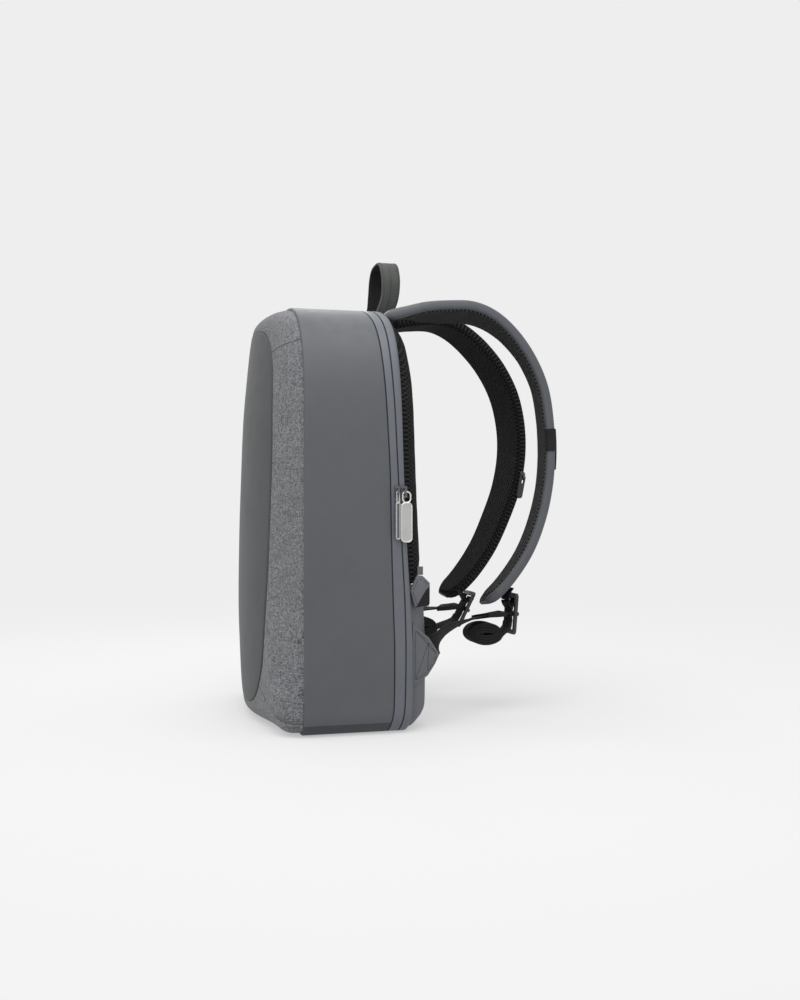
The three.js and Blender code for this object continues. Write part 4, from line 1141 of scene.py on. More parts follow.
@dataclass
class SideWalls:
    """Gusset, base panel, cover band and rear rim."""

    form: BodyForm
    front_y: float = -0.034
    shell_wall: float = 0.0024
    front_round: float = 0.0018
    edge_round: float = 0.0012
    rim_wall: float = 0.0026
    rim_round: float = 0.0030
    flange: float = 0.009
    teeth_depth: float = 0.0007

    def build(self, wardrobe: Wardrobe) -> None:
        """Builds and dresses the four pieces.

        Args:
            wardrobe: gives the finishes.
        """
        form = self.form
        loops = form.wall(
            lambda z: np.full_like(z, self.front_y), form.rear(form.groove, -form.gap / 2),
            self.shell_wall, self.front_round, self.edge_round, 20,
        )
        heights = form.outline(0.0)[:, 1]
        count = len(heights)
        seam = next(index for index, height in enumerate(heights) if height >= form.seam_z)
        over = MeshMaker.ring("gusset_shell", loops, wrap=False, span=(seam, count - seam))
        wardrobe.dress(over, SLATE, nodes=("main_shell",))
        turned = np.roll(loops, seam, axis=1)
        under = turned[:, : 2 * seam + 1].copy()
        for end in (0, -1):
            under[:, end, 2] -= form.gap
        wardrobe.dress(MeshMaker.ring("base_strip", under, wrap=False), BASE_STRIP, nodes=("base_panel",))
        band = MeshMaker.ring("cover_band", form.wall(
            form.rear(form.groove, form.gap / 2), form.rear(form.zip_line, -form.gap / 2),
            self.shell_wall, self.edge_round, self.edge_round, 6,
        ))
        wardrobe.dress(band, BAND, nodes=("zip_cover_band",))
        self.shade_edges(band, wardrobe, count, 3)
        wardrobe.dress(MeshMaker.ring("rear_binding", self.rim_loops()), BAND, nodes=("rear_rim",))
        self.shade_edges(bpy.data.objects["rear_binding"], wardrobe, count, 3)
        teeth = form.loop(self.teeth_depth, form.rear(form.zip_line))
        teeth = np.vstack([teeth, teeth[:1]])
        inward = np.gradient(teeth, axis=0)
        out = unit(np.column_stack([inward[:, 2], np.zeros(len(teeth)), -inward[:, 0]]))
        rows = [(teeth, out)]
        Stitching(pitch=0.0016, length=0.0012, radius=0.00042, sides=5).build("zip_teeth", rows, wardrobe)

    def shade_edges(self, piece: bpy.types.Object, wardrobe: Wardrobe, count: int, rows: int) -> None:
        """Gives the first rows of faces, which turn into the groove, the darker groove coat: painted shade in
        the groove.
        """
        piece.data.materials.append(wardrobe.material(GROOVE_SHADOW))
        for index in range(count * rows):
            piece.data.polygons[index].material_index = 1

    def rim_loops(self) -> np.ndarray:
        """Loops of the rear rim: outer face, rounded corner, flange and back inside."""
        form = self.form
        front, rear = form.rear(form.zip_line, form.gap / 2), form.rear(form.rim)
        loops = form.outer_face(front, rear, (self.edge_round, self.rim_round), (0.33, 0.66), 6)
        loops.append(form.loop((self.rim_round + self.flange) / 2, rear))
        loops.append(form.loop(self.flange, rear))
        loops.append(form.loop(self.flange, lambda z: rear(z) - self.rim_wall))
        loops.append(form.loop(self.rim_wall, lambda z: rear(z) - self.rim_wall))
        loops.append(form.loop(self.rim_wall, front))
        return np.array(loops)


@dataclass
class FrontDome:
    """Cloth surround and smooth panel of the domed front."""

    form: BodyForm
    rim_y: float = -0.033
    wall: float = 0.0025
    tuck: float = 0.007
    inset: float = 0.0027
    panel_raise: float = 0.0009
    panel_edge_round: float = 0.0016
    centre_z: float = 0.225
    seam_pull: float = 0.0007
    depth: tuple[Pair, ...] = (
        (0.0, 0.028), (0.012, 0.039), (0.03, 0.042), (0.064, 0.044), (0.13, 0.046), (0.205, 0.045),
        (0.266, 0.043), (0.327, 0.0405), (0.38, 0.036), (0.415, 0.0325), (0.451, 0.027),
    )
    power: tuple[Pair, ...] = (
        (0.0, 4.0), (0.014, 3.0), (0.045, 1.5), (0.11, 1.15), (0.33, 1.15), (0.4, 1.4), (0.43, 1.8),
        (0.451, 2.2),
    )
    edge: tuple[Pair, ...] = (
        (0.0, 0.018), (0.032, 0.0205), (0.05, 0.0272), (0.063, 0.04), (0.074, 0.06), (0.082, 0.095),
        (0.09, 0.157), (0.094, 0.229), (0.095, 0.3), (0.091, 0.356), (0.085, 0.384), (0.077, 0.4),
        (0.064, 0.413), (0.048, 0.4215), (0.024, 0.4262), (0.0, 0.427),
    )
    radius_table: tuple[np.ndarray, np.ndarray] = field(init=False)

    def __post_init__(self) -> None:
        """Works out the distance of the panel's edge from its centre by angle."""
        right = np.array([(x, 0.0, z) for x, z in self.edge])
        dense = Curve(right).at(np.linspace(0, len(right) - 1, 600))
        angle = np.arctan2(dense[:, 2] - self.centre_z, np.maximum(dense[:, 0], 0))
        radius = np.hypot(dense[:, 0], dense[:, 2] - self.centre_z)
        order = np.argsort(angle)
        self.radius_table = (angle[order], radius[order])

    def edge_at(self, flat: np.ndarray, shrink: float = 0.0) -> np.ndarray:
        """Points of the panel's edge on the rays through given outline points."""
        x, z = flat[:, 0], flat[:, 1] - self.centre_z
        angle = np.arctan2(z, np.abs(x))
        radius = np.interp(angle, *self.radius_table) - shrink
        return np.column_stack([np.sign(x) * radius * np.cos(angle), self.centre_z + radius * np.sin(angle)])

    def dome(self, x: np.ndarray, z: np.ndarray) -> np.ndarray:
        """Depth of the dome at points seen from the front."""
        return self.rim_y - smooth_value(self.depth, z) * (1 - (x / self.form.rim_half(z)) ** 2)

    def build(self, wardrobe: Wardrobe) -> None:
        """Builds and dresses the surround and the panel.

        Args:
            wardrobe: gives the finishes.
        """
        form = self.form
        outer_flat, inner_flat = form.outline(self.inset), form.outline(self.inset + self.wall)
        edge = self.edge_at(outer_flat)
        power = smooth_value(self.power, outer_flat[:, 1])
        dome = self.dome(edge[:, 0], edge[:, 1])
        near_edge, near_panel = (0.004, 0.015, 0.035, 0.06), (0.985, 0.995, 1.0)
        shares = np.unique([*near_edge, *np.linspace(0.09, 0.97, 26), *near_panel])
        outer, inner = [], []
        for share in shares:
            rise = (1 - (1 - share) ** power) ** (1 / power)
            y = self.rim_y + (dome - self.rim_y) * rise
            pull = self.seam_pull * (math.exp(-share / 0.02) + math.exp(-(1 - share) / 0.02))
            flat = outer_flat + (edge - outer_flat) * share
            outer.append(np.column_stack([flat[:, 0], y + pull, flat[:, 1]]))
            flat = inner_flat + (edge - inner_flat) * share
            inner.append(np.column_stack([flat[:, 0], y + self.wall * rise, flat[:, 1]]))

        def level(inset: float, out: float) -> np.ndarray:
            """Loop at one depth behind the front rim."""
            return form.loop(inset, lambda z: np.full_like(z, self.rim_y + out))

        tucked = [level(self.inset, self.tuck), level(self.inset, 0.0005)]
        back = [level(self.inset + self.wall, 0.0006), level(self.inset + self.wall, self.tuck)]
        cloth = MeshMaker.ring("cloth_surround", np.array([*tucked, *outer, *inner[::-1], *back]))
        wardrobe.dress(cloth, HEATHER, nodes=("front_fabric",))
        wardrobe.dress(self.panel(outer_flat), PANEL, nodes=("front_panel",))

    def panel(self, flat: np.ndarray) -> bpy.types.Object:
        """Domed panel with a rounded edge.

        Args:
            flat: outline points whose rays give the panel's edge.

        Returns:
            The panel's object.
        """

        def loop(shrink: float, share: float, lift: float) -> np.ndarray:
            """One loop of the panel."""
            edge = self.edge_at(flat, shrink)
            x, z = edge[:, 0] * share, self.centre_z + (edge[:, 1] - self.centre_z) * share
            return np.column_stack([x, self.dome(x, z) + lift, z])

        gap, radius, lift = self.form.gap, self.panel_edge_round, self.panel_raise
        loops = [loop(radius, share, -lift) for share in np.linspace(0.05, 1.0, 20)]
        for sine, cosine in quarter_turn(5)[1:]:
            drop = lift - (lift + 0.0004) * (1 - cosine)
            loops.append(loop(radius - (radius - gap) * sine, 1.0, -drop))
        loops.append(loop(gap, 1.0, self.wall))
        loops.append(loop(gap, 0.6, self.wall))
        centre = self.dome(np.array([0.0]), np.array([self.centre_z]))[0]
        return MeshMaker.plate(
            "domed_panel", np.array(loops),
            np.array([0.0, centre - lift, self.centre_z]), np.array([0.0, centre + self.wall, self.centre_z]),
        )


@dataclass
class BackCushions:
    """Mesh cushion of the back and the padded block below it."""

    form: BodyForm
    pad_inset: float = 0.0094
    pad_bottom: float = 0.152
    pad_corner: float = 0.004
    pad_heart: float = 0.300
    pad_rise: tuple[Pair, ...] = (
        (0.0, 0.0), (0.006, 0.004), (0.02, 0.0085), (0.05, 0.0125), (0.1, 0.0162), (0.2, 0.0215),
        (0.42, 0.026), (1.0, 0.027),
    )
    block_top: float = 0.1535
    block_bottom: float = 0.001
    block_half: float = 0.141
    block_corner: float = 0.021
    block_top_corner: float = 0.006
    block_seat: float = 0.0006
    block_rise: tuple[Pair, ...] = (
        (0.0, 0.0), (0.006, 0.003), (0.02, 0.0062), (0.07, 0.0112), (0.16, 0.0176), (0.4, 0.0212),
        (1.0, 0.0215),
    )
    shares: tuple[float, ...] = (
        0.003, 0.008, 0.016, 0.03, 0.05, 0.075, 0.11, 0.16, 0.22, 0.3, 0.4, 0.52, 0.66, 0.82
    )

    def seat(self, z: np.ndarray) -> np.ndarray:
        """Depth of the face that the cushions sit on."""
        return smooth_value(self.form.rim, z) + self.form.gap

    def pad_outline(self) -> np.ndarray:
        """Outline of the mesh cushion as x and z pairs."""
        foot, corner = self.pad_bottom + self.form.gap, self.pad_corner
        half = self.form.width / 2 - self.pad_inset
        right = [(half * share, foot) for share in np.linspace(0, 1 - corner / half, 14)]
        turns = quarter_turn(6)[1:]
        right += [(half - corner * (1 - sine), foot + corner * (1 - cosine)) for sine, cosine in turns]
        upper = self.form.right_half(self.pad_inset)
        right += [tuple(point) for point in upper if point[1] > foot + corner * 1.3]
        return mirrored(right)

    def block_outline(self) -> np.ndarray:
        """Outline of the lower block as x and z pairs."""
        corner, half, top_corner = self.block_corner, self.block_half, self.block_top_corner
        flat = half - corner
        right = [(flat * share, self.block_bottom) for share in np.linspace(0, 0.94, 12)]
        turns = quarter_turn(8)
        right += [(flat + corner * sine, self.block_bottom + corner * (1 - cosine)) for sine, cosine in turns]
        low, high = self.block_bottom + corner, self.block_top - top_corner
        right += [(half, low + (high - low) * share) for share in np.linspace(0.1, 0.9, 9)]
        right += [(half - top_corner * (1 - cosine), high + top_corner * sine) for sine, cosine in turns]
        right += [(flat * share, self.block_top) for share in np.linspace(0.94, 0, 12)]
        return mirrored(right)

    def cushion(
        self, name: str, flat: np.ndarray, heart: Pair, rise: tuple[Pair, ...], narrow: float
    ) -> bpy.types.Object:
        """Crowned cushion over an outline.

        Args:
            name: name of the piece.
            flat: its outline as x and z pairs.
            heart: x and z of the point where its crown is highest.
            rise: rise of its face by share of the way from the outline to the heart.
            narrow: how much of the way the loops close in sideways.

        Returns:
            The cushion's object.
        """
        loops = []
        for share in (*self.shares[::-1], 0.0):
            x = flat[:, 0] + (heart[0] - flat[:, 0]) * share * narrow
            z = flat[:, 1] + (heart[1] - flat[:, 1]) * share
            wave = np.sin(flat[:, 1] * 190 + flat[:, 0] * 40)
            ripple = 0.0005 * wave * math.exp(-((share - 0.08) / 0.06) ** 2)
            crown = smooth_value(rise, np.array([share]))[0]
            y = self.seat(z) + self.block_seat + crown + ripple * (share > 0)
            loops.append(np.column_stack([x, y, z]))
        top_y = self.seat(np.array([heart[1]]))[0] + self.block_seat
        top = np.array([heart[0], top_y + rise[-1][1], heart[1]])
        return MeshMaker.plate(name, np.array(loops), top, np.array([heart[0], top_y, heart[1]]))

    def build(self, wardrobe: Wardrobe) -> None:
        """Builds and dresses both cushions.

        Args:
            wardrobe: gives the finishes.
        """
        pad = self.cushion("back_cushion", self.pad_outline(), (0.0, self.pad_heart), self.pad_rise, 1.0)
        wardrobe.dress(pad, SPACER, nodes=("back_pad",))
        middle = (self.block_top + self.block_bottom) / 2
        block = self.cushion("lumbar_cushion", self.block_outline(), (0.0, middle), self.block_rise, 0.5)
        wardrobe.dress(block, DARK_SLATE, nodes=("lumbar_block",))


@dataclass
class Stitching:
    """Rows of short sewn threads."""

    pitch: float = 0.0036
    length: float = 0.0026
    radius: float = 0.00028
    sides: int = 6

    def row(self, points: np.ndarray, normals: np.ndarray) -> list[tuple[np.ndarray, np.ndarray]]:
        """Places stitches along a line.

        Args:
            points: points of the line.
            normals: directions out of the cloth at those points.

        Returns:
            Middle lines of the stitches with their normals.
        """
        run = run_along(points)
        found = []
        for start in np.arange(self.pitch / 2, run[-1] - self.length, self.pitch):
            places = np.linspace(start, start + self.length, 5)
            line = np.column_stack([np.interp(places, run, points[:, k]) for k in range(3)])
            out = unit(np.column_stack([np.interp(places, run, normals[:, k]) for k in range(3)]))
            arch = np.sin(np.linspace(0, math.pi, 5))[:, None] * self.radius * 1.2 - self.radius * 0.5
            found.append((line + out * arch, out))
        return found

    def build(
        self, name: str, rows: Sequence[tuple[np.ndarray, np.ndarray]], wardrobe: Wardrobe
    ) -> bpy.types.Object:
        """Makes one piece of all stitches along several lines.

        Args:
            name: name of the piece.
            rows: points and normals of each line.
            wardrobe: gives the finish.

        Returns:
            The stitches' object.
        """
        points: list[np.ndarray] = []
        faces: list[tuple[int, ...]] = []
        uvs: list[Pair] = []
        for line_points, line_normals in rows:
            for line, out in self.row(line_points, line_normals):
                along = unit(np.gradient(line, axis=0))
                side = np.cross(along, out)
                base = sum(len(block) for block in points)
                for index in range(len(line)):
                    thin = self.radius * (0.55 if index in (0, len(line) - 1) else 1.0)
                    turns = np.linspace(0, 2 * math.pi, self.sides, endpoint=False)[:, None]
                    around = np.cos(turns) * side[index] + np.sin(turns) * out[index]
                    points.append(line[index] + thin * around)
                for index in range(len(line) - 1):
                    for step in range(self.sides):
                        after = (step + 1) % self.sides
                        low, high = base + index * self.sides, base + (index + 1) * self.sides
                        faces.append((low + step, low + after, high + after, high + step))
                        edge = [(step * 2e-4, index * 6e-4), (after * 2e-4, index * 6e-4)]
                        uvs += edge + edge[::-1]
                for index in (0, len(line) - 1):
                    cap = tuple(base + index * self.sides + step for step in range(self.sides))
                    faces.append(cap if index else cap[::-1])
                    uvs += [(0.0, 0.0)] * self.sides
        piece = MeshMaker.build(name, np.concatenate(points), faces, uvs, sharp=70)
        return wardrobe.dress(MeshMaker.outward(piece), THREAD)


@dataclass
class ShoulderStrap:
    """One padded strap with its smooth outer face and mesh lining."""

    side: Side
    half: float = 0.028
    thick: float = 0.0104
    mesh_thick: float = 0.0022
    mesh_margin: float = 0.0042
    mesh_gap: float = -0.0009
    edge: float = 0.0042
    crown: float = 0.0018
    flattened_at: float = 10.75
    tip_round: float = 0.013
    stitch_inset: float = 0.0046
    lining_short: int = 4
    stations: int = 136
    mesh_from: int = 12
    section_points: int = 46
    under_from: int = 34
    inner_edge: int = 8
    rows: tuple[tuple[float, ...], ...] = (
        (65.6, 444.6, 73, 12, 0, 0, 0), (87, 450.5, 72, 13.5, 0, 0, 0), (99, 454.5, 66, 20, 0, 0, -2),
        (113, 458, 59, 27.5, 0, 0, -5), (140, 461.2, 58, 28, 1, -2, -10), (170, 461, 58, 28, 3, -4, -11),
        (196, 451, 58, 28, 6, -6, -8), (220, 431, 58, 28, 9, -6, -4), (241, 403, 58, 28, 11, -4, -1),
        (256, 370, 58, 28, 12, -2, 0), (263, 332, 58, 28, 12, 0, 0), (265, 296, 58, 28, 12, -1, 0),
        (262, 256, 58, 28, 12, -5, 0), (253.5, 218, 58, 28, 11, -10, 0), (239, 182, 58, 27.5, 10, -12, 0),
        (218.5, 151.5, 58, 26.5, 9, -12, 0), (201.5, 133, 58, 24.5, 8, -12, 0),
        (188.5, 123, 58, 18, 8, -12, 0),
    )

    def frames(self, places: np.ndarray) -> tuple[Frames, np.ndarray]:
        """Frames of the outer face.

        Args:
            places: places counted in rows of the table.

        Returns:
            The frames, and half the strap's width at each.
        """
        table = np.array(self.rows)
        shift = table[:, 5] if self.side is Side.LEFT else 0
        line = Curve(np.column_stack([np.zeros(len(table)), table[:, 0] + shift, table[:, 1]]) / 1000)
        index = np.arange(len(table))
        x, half, twist, more = (np.interp(places, index, table[:, column]) for column in (2, 3, 4, 6))
        twist = twist + more * (self.side is Side.RIGHT)
        edge, along = line.at(places), line.along(places)
        upright = unit(np.column_stack([np.zeros(len(places)), -along[:, 2], along[:, 1]]))
        twist = np.radians(twist)[:, None]
        across = np.array([1.0, 0, 0]) * np.cos(twist) - upright * np.sin(twist)
        normal = upright * np.cos(twist) + np.array([1.0, 0, 0]) * np.sin(twist)
        centre = edge + upright * self.half * np.sin(twist)
        centre[:, 0] = x / 1000
        if self.side is Side.LEFT:
            flip = np.array([-1.0, 1, 1])
            centre, normal, across = centre * flip, normal * flip, across * (1, -1, -1)
        return Frames(centre, across, normal), half / 1000

    def slab(
        self, name: str, places: np.ndarray, depth: float, thick: float, margin: float, edge: float
    ) -> bpy.types.Object:
        """One layer of the strap.

        Args:
            name: name of the piece.
            places: stations counted in rows.
            depth: distance of its upper face below the outer face.
            thick: thickness of the layer.
            margin: how much narrower it is on each side than the strap.
            edge: radius of its edges.

        Returns:
            The layer's object.
        """
        frames, half = self.frames(places)
        run = run_along(frames.centre)
        pressed = 1 - np.exp(-(((places - self.flattened_at) / 0.75) ** 4))
        sections = []
        for index in range(len(places)):
            to_end = min(run[index], run[-1] - run[index])
            share = math.sqrt(max(1 - (1 - min(to_end / self.tip_round, 1.0)) ** 2, 0.12))
            wide = (half[index] - margin) * 2 * (0.6 + 0.4 * share)
            section = rounded_section(wide, thick * share, edge * share, 5, 12)
            crown = np.clip(1 - (section[:, 0] / max(half[index], 1e-6)) ** 2, 0, 1)
            lift = self.crown * pressed[index] if depth == 0 else 0.0
            section[:, 1] += np.where(section[:, 1] > 0, lift, 0.0) * crown * share
            sections.append(section)
        return MeshMaker.sweep(name, frames.shifted(-depth - thick / 2), sections)

    def build(self, wardrobe: Wardrobe) -> None:
        """Builds and dresses both layers and the sewn lines along the edges.

        Args:
            wardrobe: gives the finishes.
        """
        last = len(self.rows) - 1
        tip = np.linspace(last - 0.45, last, 10)
        places = np.concatenate([np.linspace(0, last - 0.5, self.stations + 1), tip])
        label = self.side.label
        face = self.slab(f"strap_face_{label}", places, 0.0, self.thick, 0.0, self.edge)
        wardrobe.dress(face, STRAP_FACE, nodes=(f"strap_outer_{label}",))
        # The near strap's mesh is the lighter copy, painted light; the far strap's is the plain spacer mesh.
        cloth = LIT_LINING if self.side is Side.RIGHT else SPACER
        face.data.materials.append(wardrobe.material(cloth))
        for polygon in face.data.polygons[: self.section_points * (len(places) - 1)]:
            step = polygon.index % self.section_points
            turned_in = self.side is Side.LEFT and step <= self.inner_edge
            polygon.material_index = int(step >= self.under_from or turned_in)
        lining_places = places[self.mesh_from : -self.lining_short]
        depth = self.thick + self.mesh_gap
        lining = self.slab(
            f"strap_lining_{label}", lining_places, depth, self.mesh_thick, self.mesh_margin, 0.0011
        )
        wardrobe.dress(lining, cloth, nodes=(f"strap_mesh_{label}",))
        frames, half = self.frames(places[16:-6])
        beside = frames.across * (half - self.stitch_inset)[:, None]
        centre = frames.centre + frames.normal * THREAD_LIFT
        rows = [(centre + beside * way, frames.normal) for way in (-1, 1)]
        Stitching().build(f"strap_stitches_{label}", rows, wardrobe)


@dataclass
class Handle:
    """Top handle of folded webbing."""

    width: float = 0.022
    thick: float = 0.0032
    edge: float = 0.0013
    shaded_inside_from: float = 0.35
    stitch_line: float = 0.0085
    steps: int = 100
    rows: tuple[tuple[float, ...], ...] = (
        (-36, 75.5, 443.6, 32), (-36, 85, 462, 22), (-36.5, 87.5, 482, 8), (-34, 88, 499, 2),
        (-25, 88, 509.5, 0), (-9, 88, 513, 0), (9, 88, 512, 0), (24, 87, 503, 0),
        (34, 86, 487, -4), (37, 83.5, 467, -16), (36, 74.5, 443.6, -28),
    )

    def build(self, wardrobe: Wardrobe) -> None:
        """Builds and dresses the handle.

        Args:
            wardrobe: gives the finish.
        """
        table = np.array(self.rows)
        places = np.linspace(0, len(table) - 1, self.steps + 1)
        curve = Curve(table[:, :3] / 1000)
        along = curve.along(places)
        turn = np.radians(np.interp(places, np.arange(len(table)), table[:, 3]))
        wish = np.column_stack([np.sin(turn), np.cos(turn), np.zeros(len(turn))])
        across = unit(wish - along * (wish * along).sum(axis=1, keepdims=True))
        frames = Frames(curve.at(places), across, np.cross(along, across))
        section = rounded_section(self.width, self.thick, self.edge, 4, 8)
        piece = MeshMaker.sweep("carry_handle", frames, [section] * len(places))
        wardrobe.dress(piece, GREY_WEB, nodes=("top_handle",))
        # Faces that turn to the inside of the loop get the black webbing: painted shade under the arch of the
        # handle.
        piece.data.materials.append(wardrobe.material(BLACK_WEB))
        heart = frames.centre.mean(axis=0)
        for polygon in piece.data.polygons:
            inward = Vector(heart - np.array(polygon.center))
            inward.y = 0.0
            polygon.material_index = int(polygon.normal.dot(inward.normalized()) > self.shaded_inside_from)
        rows = []
        for offset in (-self.stitch_line, self.stitch_line):
            for out in (-1, 1):
                sewn = frames.centre + frames.across * offset + frames.normal * out * self.thick / 2
                rows.append((sewn, frames.normal * out))
        Stitching().build("handle_stitches", rows, wardrobe)


@dataclass
class LowerSet:
    """Webbing, keeper, rolled tail, wing and buckle below one strap."""

    side: Side
    end_shift: float = 0.0
    shift_y: float = 0.0
    shift_z: float = 0.0
    buckle_top: Pair = (0.222, 0.135)
    buckle_bottom: Pair = (0.2185, 0.089)
    roll_centre: Pair = (0.1865, 0.091)
    buckle_x: float = 0.061
    width: float = 0.025
    thick: float = 0.0015
    roll_thick: float = 0.0025
    roll_long: float = 0.0215
    roll_short: float = 0.014
    roll_turns: int = 4
    roll_pitch: float = 0.0029
    roll_start: float = -12.0
    keeper_thick: float = 0.0014
    keeper_clear: float = 0.00045
    keeper_from: int = 76
    keeper_to: int = 92
    wing_thick: float = 0.0022
    end_rows: tuple[Pair, ...] = ((219.2, 141), (216.2, 137.4), (214.4, 132), (214, 124), (217.8, 117))
    lower_rows: tuple[tuple[float, ...], ...] = (
        (121, 120, 98, 58, 6), (108, 134, 102, 28, 16), (90, 152, 104.5, 13, 16), (72, 170, 106.9, 5, 14),
        (62, 184, 109, 0, 9), (61, 200, 110.6, 0, 4), (61, 218.1, 112.4, 0, 0),
    )
    threading: tuple[Pair, ...] = (
        (17.5, -2.6), (14.5, -3.1), (11.5, -0.6), (8.5, 2.2), (3.0, 2.9), (-3.0, 2.9), (-8.5, 2.4),
        (-12.0, 3.2), (-16.5, 3.9),
    )
    wing_root: Pair = (0.1412, 0.086)
    wing_tip: Pair = (0.133, 0.113)
    wing_outline: tuple[Pair, ...] = (
        (0.0806, 0.047), (0.099, 0.057), (0.108, 0.069), (0.113, 0.0785), (0.1005, 0.0965), (0.0806, 0.113)
    )
    wing_tuck: float = 0.010
    wing_slack: float = 0.0004
    wing_straight: float = 1.5

    def wing_point(self, y: float, z: float, lift: float) -> np.ndarray:
        """Point on the plane of the wing, lifted outwards from its middle."""
        wide, deep = self.wing_tip[0] - self.wing_root[0], self.wing_tip[1] - self.wing_root[1]
        out = unit(np.array([deep, -wide, 0.0]))
        x = self.wing_root[0] + wide * ((y - self.wing_root[1]) / deep)
        return np.array([(x + out[0] * lift) * self.side.value, y + out[1] * lift, z])

    def wing_out(self) -> np.ndarray:
        """Direction out of the wing's outer face."""
        out = self.wing_point(0.1, 0.08, 1.0) - self.wing_point(0.1, 0.08, 0.0)
        return unit(out)

    @staticmethod
    def webbing(rows: Sequence[tuple[np.ndarray, float]], count: int) -> Frames:
        """Frames of a webbing whose width turns about its run.

        Args:
            rows: points with the turn of the width in degrees, 0 flat and 90 on edge.
            count: number of steps.

        Returns:
            The frames.
        """
        curve = Curve(np.array([row[0] for row in rows]))
        places = np.linspace(0, len(rows) - 1, count + 1)
        along = curve.along(places)
        turn = np.radians(np.interp(places, np.arange(len(rows)), [row[1] for row in rows]))[:, None]
        flat = unit(np.column_stack([along[:, 1], -along[:, 0], np.zeros(len(places))]))
        upright = unit(np.cross(flat, along))
        across = flat * np.cos(turn) + upright * np.sin(turn)
        return Frames(curve.at(places), across, np.cross(along, across))

    def lower_frames(self) -> Frames:
        """Frames of the webbing from under the wing to the buckle."""
        high, low = self.wing_outline[4], self.wing_outline[3]
        middle = ((high[0] + low[0]) / 2, (high[1] + low[1]) / 2)
        slope = math.atan2(high[1] - low[1], low[0] - high[0])
        lift = -(self.wing_thick + self.thick) / 2 - 0.0003 - self.wing_slack
        tuck_y, tuck_z = self.wing_tuck * math.sin(slope), self.wing_tuck * math.cos(slope)
        under = self.wing_point(middle[0] - tuck_y, middle[1] - tuck_z, lift)
        leave = self.wing_point(*middle, lift)
        sign = self.side.value
        reach = self.lower_rows[-1][1] / 1000 - middle[0]
        rows = [(under, 90.0 * sign), ((under + leave) / 2, 90.0 * sign), (leave, 90.0 * sign)]
        rows.append((under + (leave - under) * self.wing_straight, 84.0 * sign))
        for x, y, z, turn, more in self.lower_rows:
            turn += more * (self.side is Side.RIGHT)
            share = (y / 1000 - middle[0]) / reach
            shift = np.array([0.0, self.shift_y, self.shift_z]) * share
            rows.append((np.array([x * sign, y, z]) / 1000 + shift, turn * sign))
        return self.webbing(rows, 96)

    def buckle_line(self) -> tuple[np.ndarray, np.ndarray, np.ndarray, np.ndarray]:
        """Top and bottom of the buckle with the directions up its length and out of its front."""
        x = self.buckle_x * self.side.value
        top, bottom = (np.array([x, *pair]) for pair in (self.buckle_top, self.buckle_bottom))
        up = unit(top - bottom)
        return top, bottom, up, np.array([0.0, -up[2], up[1]])

    @staticmethod
    def level_band(points: Sequence[np.ndarray], fineness: int) -> Frames:
        """Frames of a band through points, level across its width.

        Args:
            points: points that it passes.
            fineness: steps from each point to the next.

        Returns:
            The frames.
        """
        curve = Curve(np.array(points))
        places = np.linspace(0, len(points) - 1, (len(points) - 1) * fineness + 1)
        along = curve.along(places)
        across = np.tile([1.0, 0.0, 0.0], (len(places), 1))
        return Frames(curve.at(places), across, unit(np.cross(along, across)))

    def roll_frames(self) -> Frames:
        """Frames of the rolled tail, from the foot of the buckle into a flattened spiral."""
        _, bottom, up, front = self.buckle_line()
        points = [bottom + up * 0.013 + front * 0.0032, bottom + up * 0.0065 + front * 0.0042]
        per_turn = 14
        for step in range(self.roll_turns * per_turn + 1):
            turn = math.radians(self.roll_start) - 2 * math.pi * step / per_turn
            shrink = self.roll_thick / 2 + self.roll_pitch * step / per_turn
            points.append(np.array([
                bottom[0],
                self.roll_centre[0] + (self.roll_long - shrink) * math.cos(turn),
                self.roll_centre[1] + (self.roll_short - shrink) * math.sin(turn),
            ]))
        return self.level_band(points, 4)

    def wing(self, wardrobe: Wardrobe) -> None:
        """Builds the sewn wing with its crossed stitches.

        Args:
            wardrobe: gives the finishes.
        """
        label = self.side.label
        outline = np.array([self.wing_point(y, z, 0.0) for y, z in self.wing_outline])
        out = self.wing_out()
        rounds, inner = (-1.0, -0.75, 0.0, 0.75, 1.0), (0.05, 0.012, 0.0, 0.012, 0.05)
        heart = outline.mean(axis=0)
        dense = dense_outline(outline, 8)
        loops = [
            dense + (heart - dense) * share + out * way * self.wing_thick / 2
            for way, share in zip(rounds[::-1], inner)
        ]
        top, bottom = heart + out * self.wing_thick / 2, heart - out * self.wing_thick / 2
        piece = MeshMaker.plate(f"wing_{label}", np.array(loops), top, bottom)
        wardrobe.dress(piece, DARK_SLATE, nodes=(f"wing_tab_{label}",))
        raised = out * (self.wing_thick / 2 + THREAD_LIFT)
        corners = [corner + (heart - corner) * 0.2 + raised for corner in outline]
        lines = list(zip(corners, corners[1:] + corners[:1]))
        lines += [(corners[0], corners[4]), (corners[5], corners[3]), (corners[1], corners[4])]
        rows = [(np.linspace(a, b, 12), np.tile(out, (12, 1))) for a, b in lines]
        Stitching(pitch=0.003, length=0.0021).build(f"wing_stitches_{label}", rows, wardrobe)

    def band(
        self, name: str, frames: Frames, section: np.ndarray, wardrobe: Wardrobe, nodes: tuple[str, ...] = ()
    ) -> None:
        """Builds one webbing of this side.

        Args:
            name: name of the piece.
            frames: centres and directions of the webbing.
            section: its outline.
            wardrobe: gives the finish.
            nodes: solids that it stands for.
        """
        piece = MeshMaker.sweep(name, frames, [section] * len(frames.centre))
        wardrobe.dress(piece, BLACK_WEB, nodes=nodes)

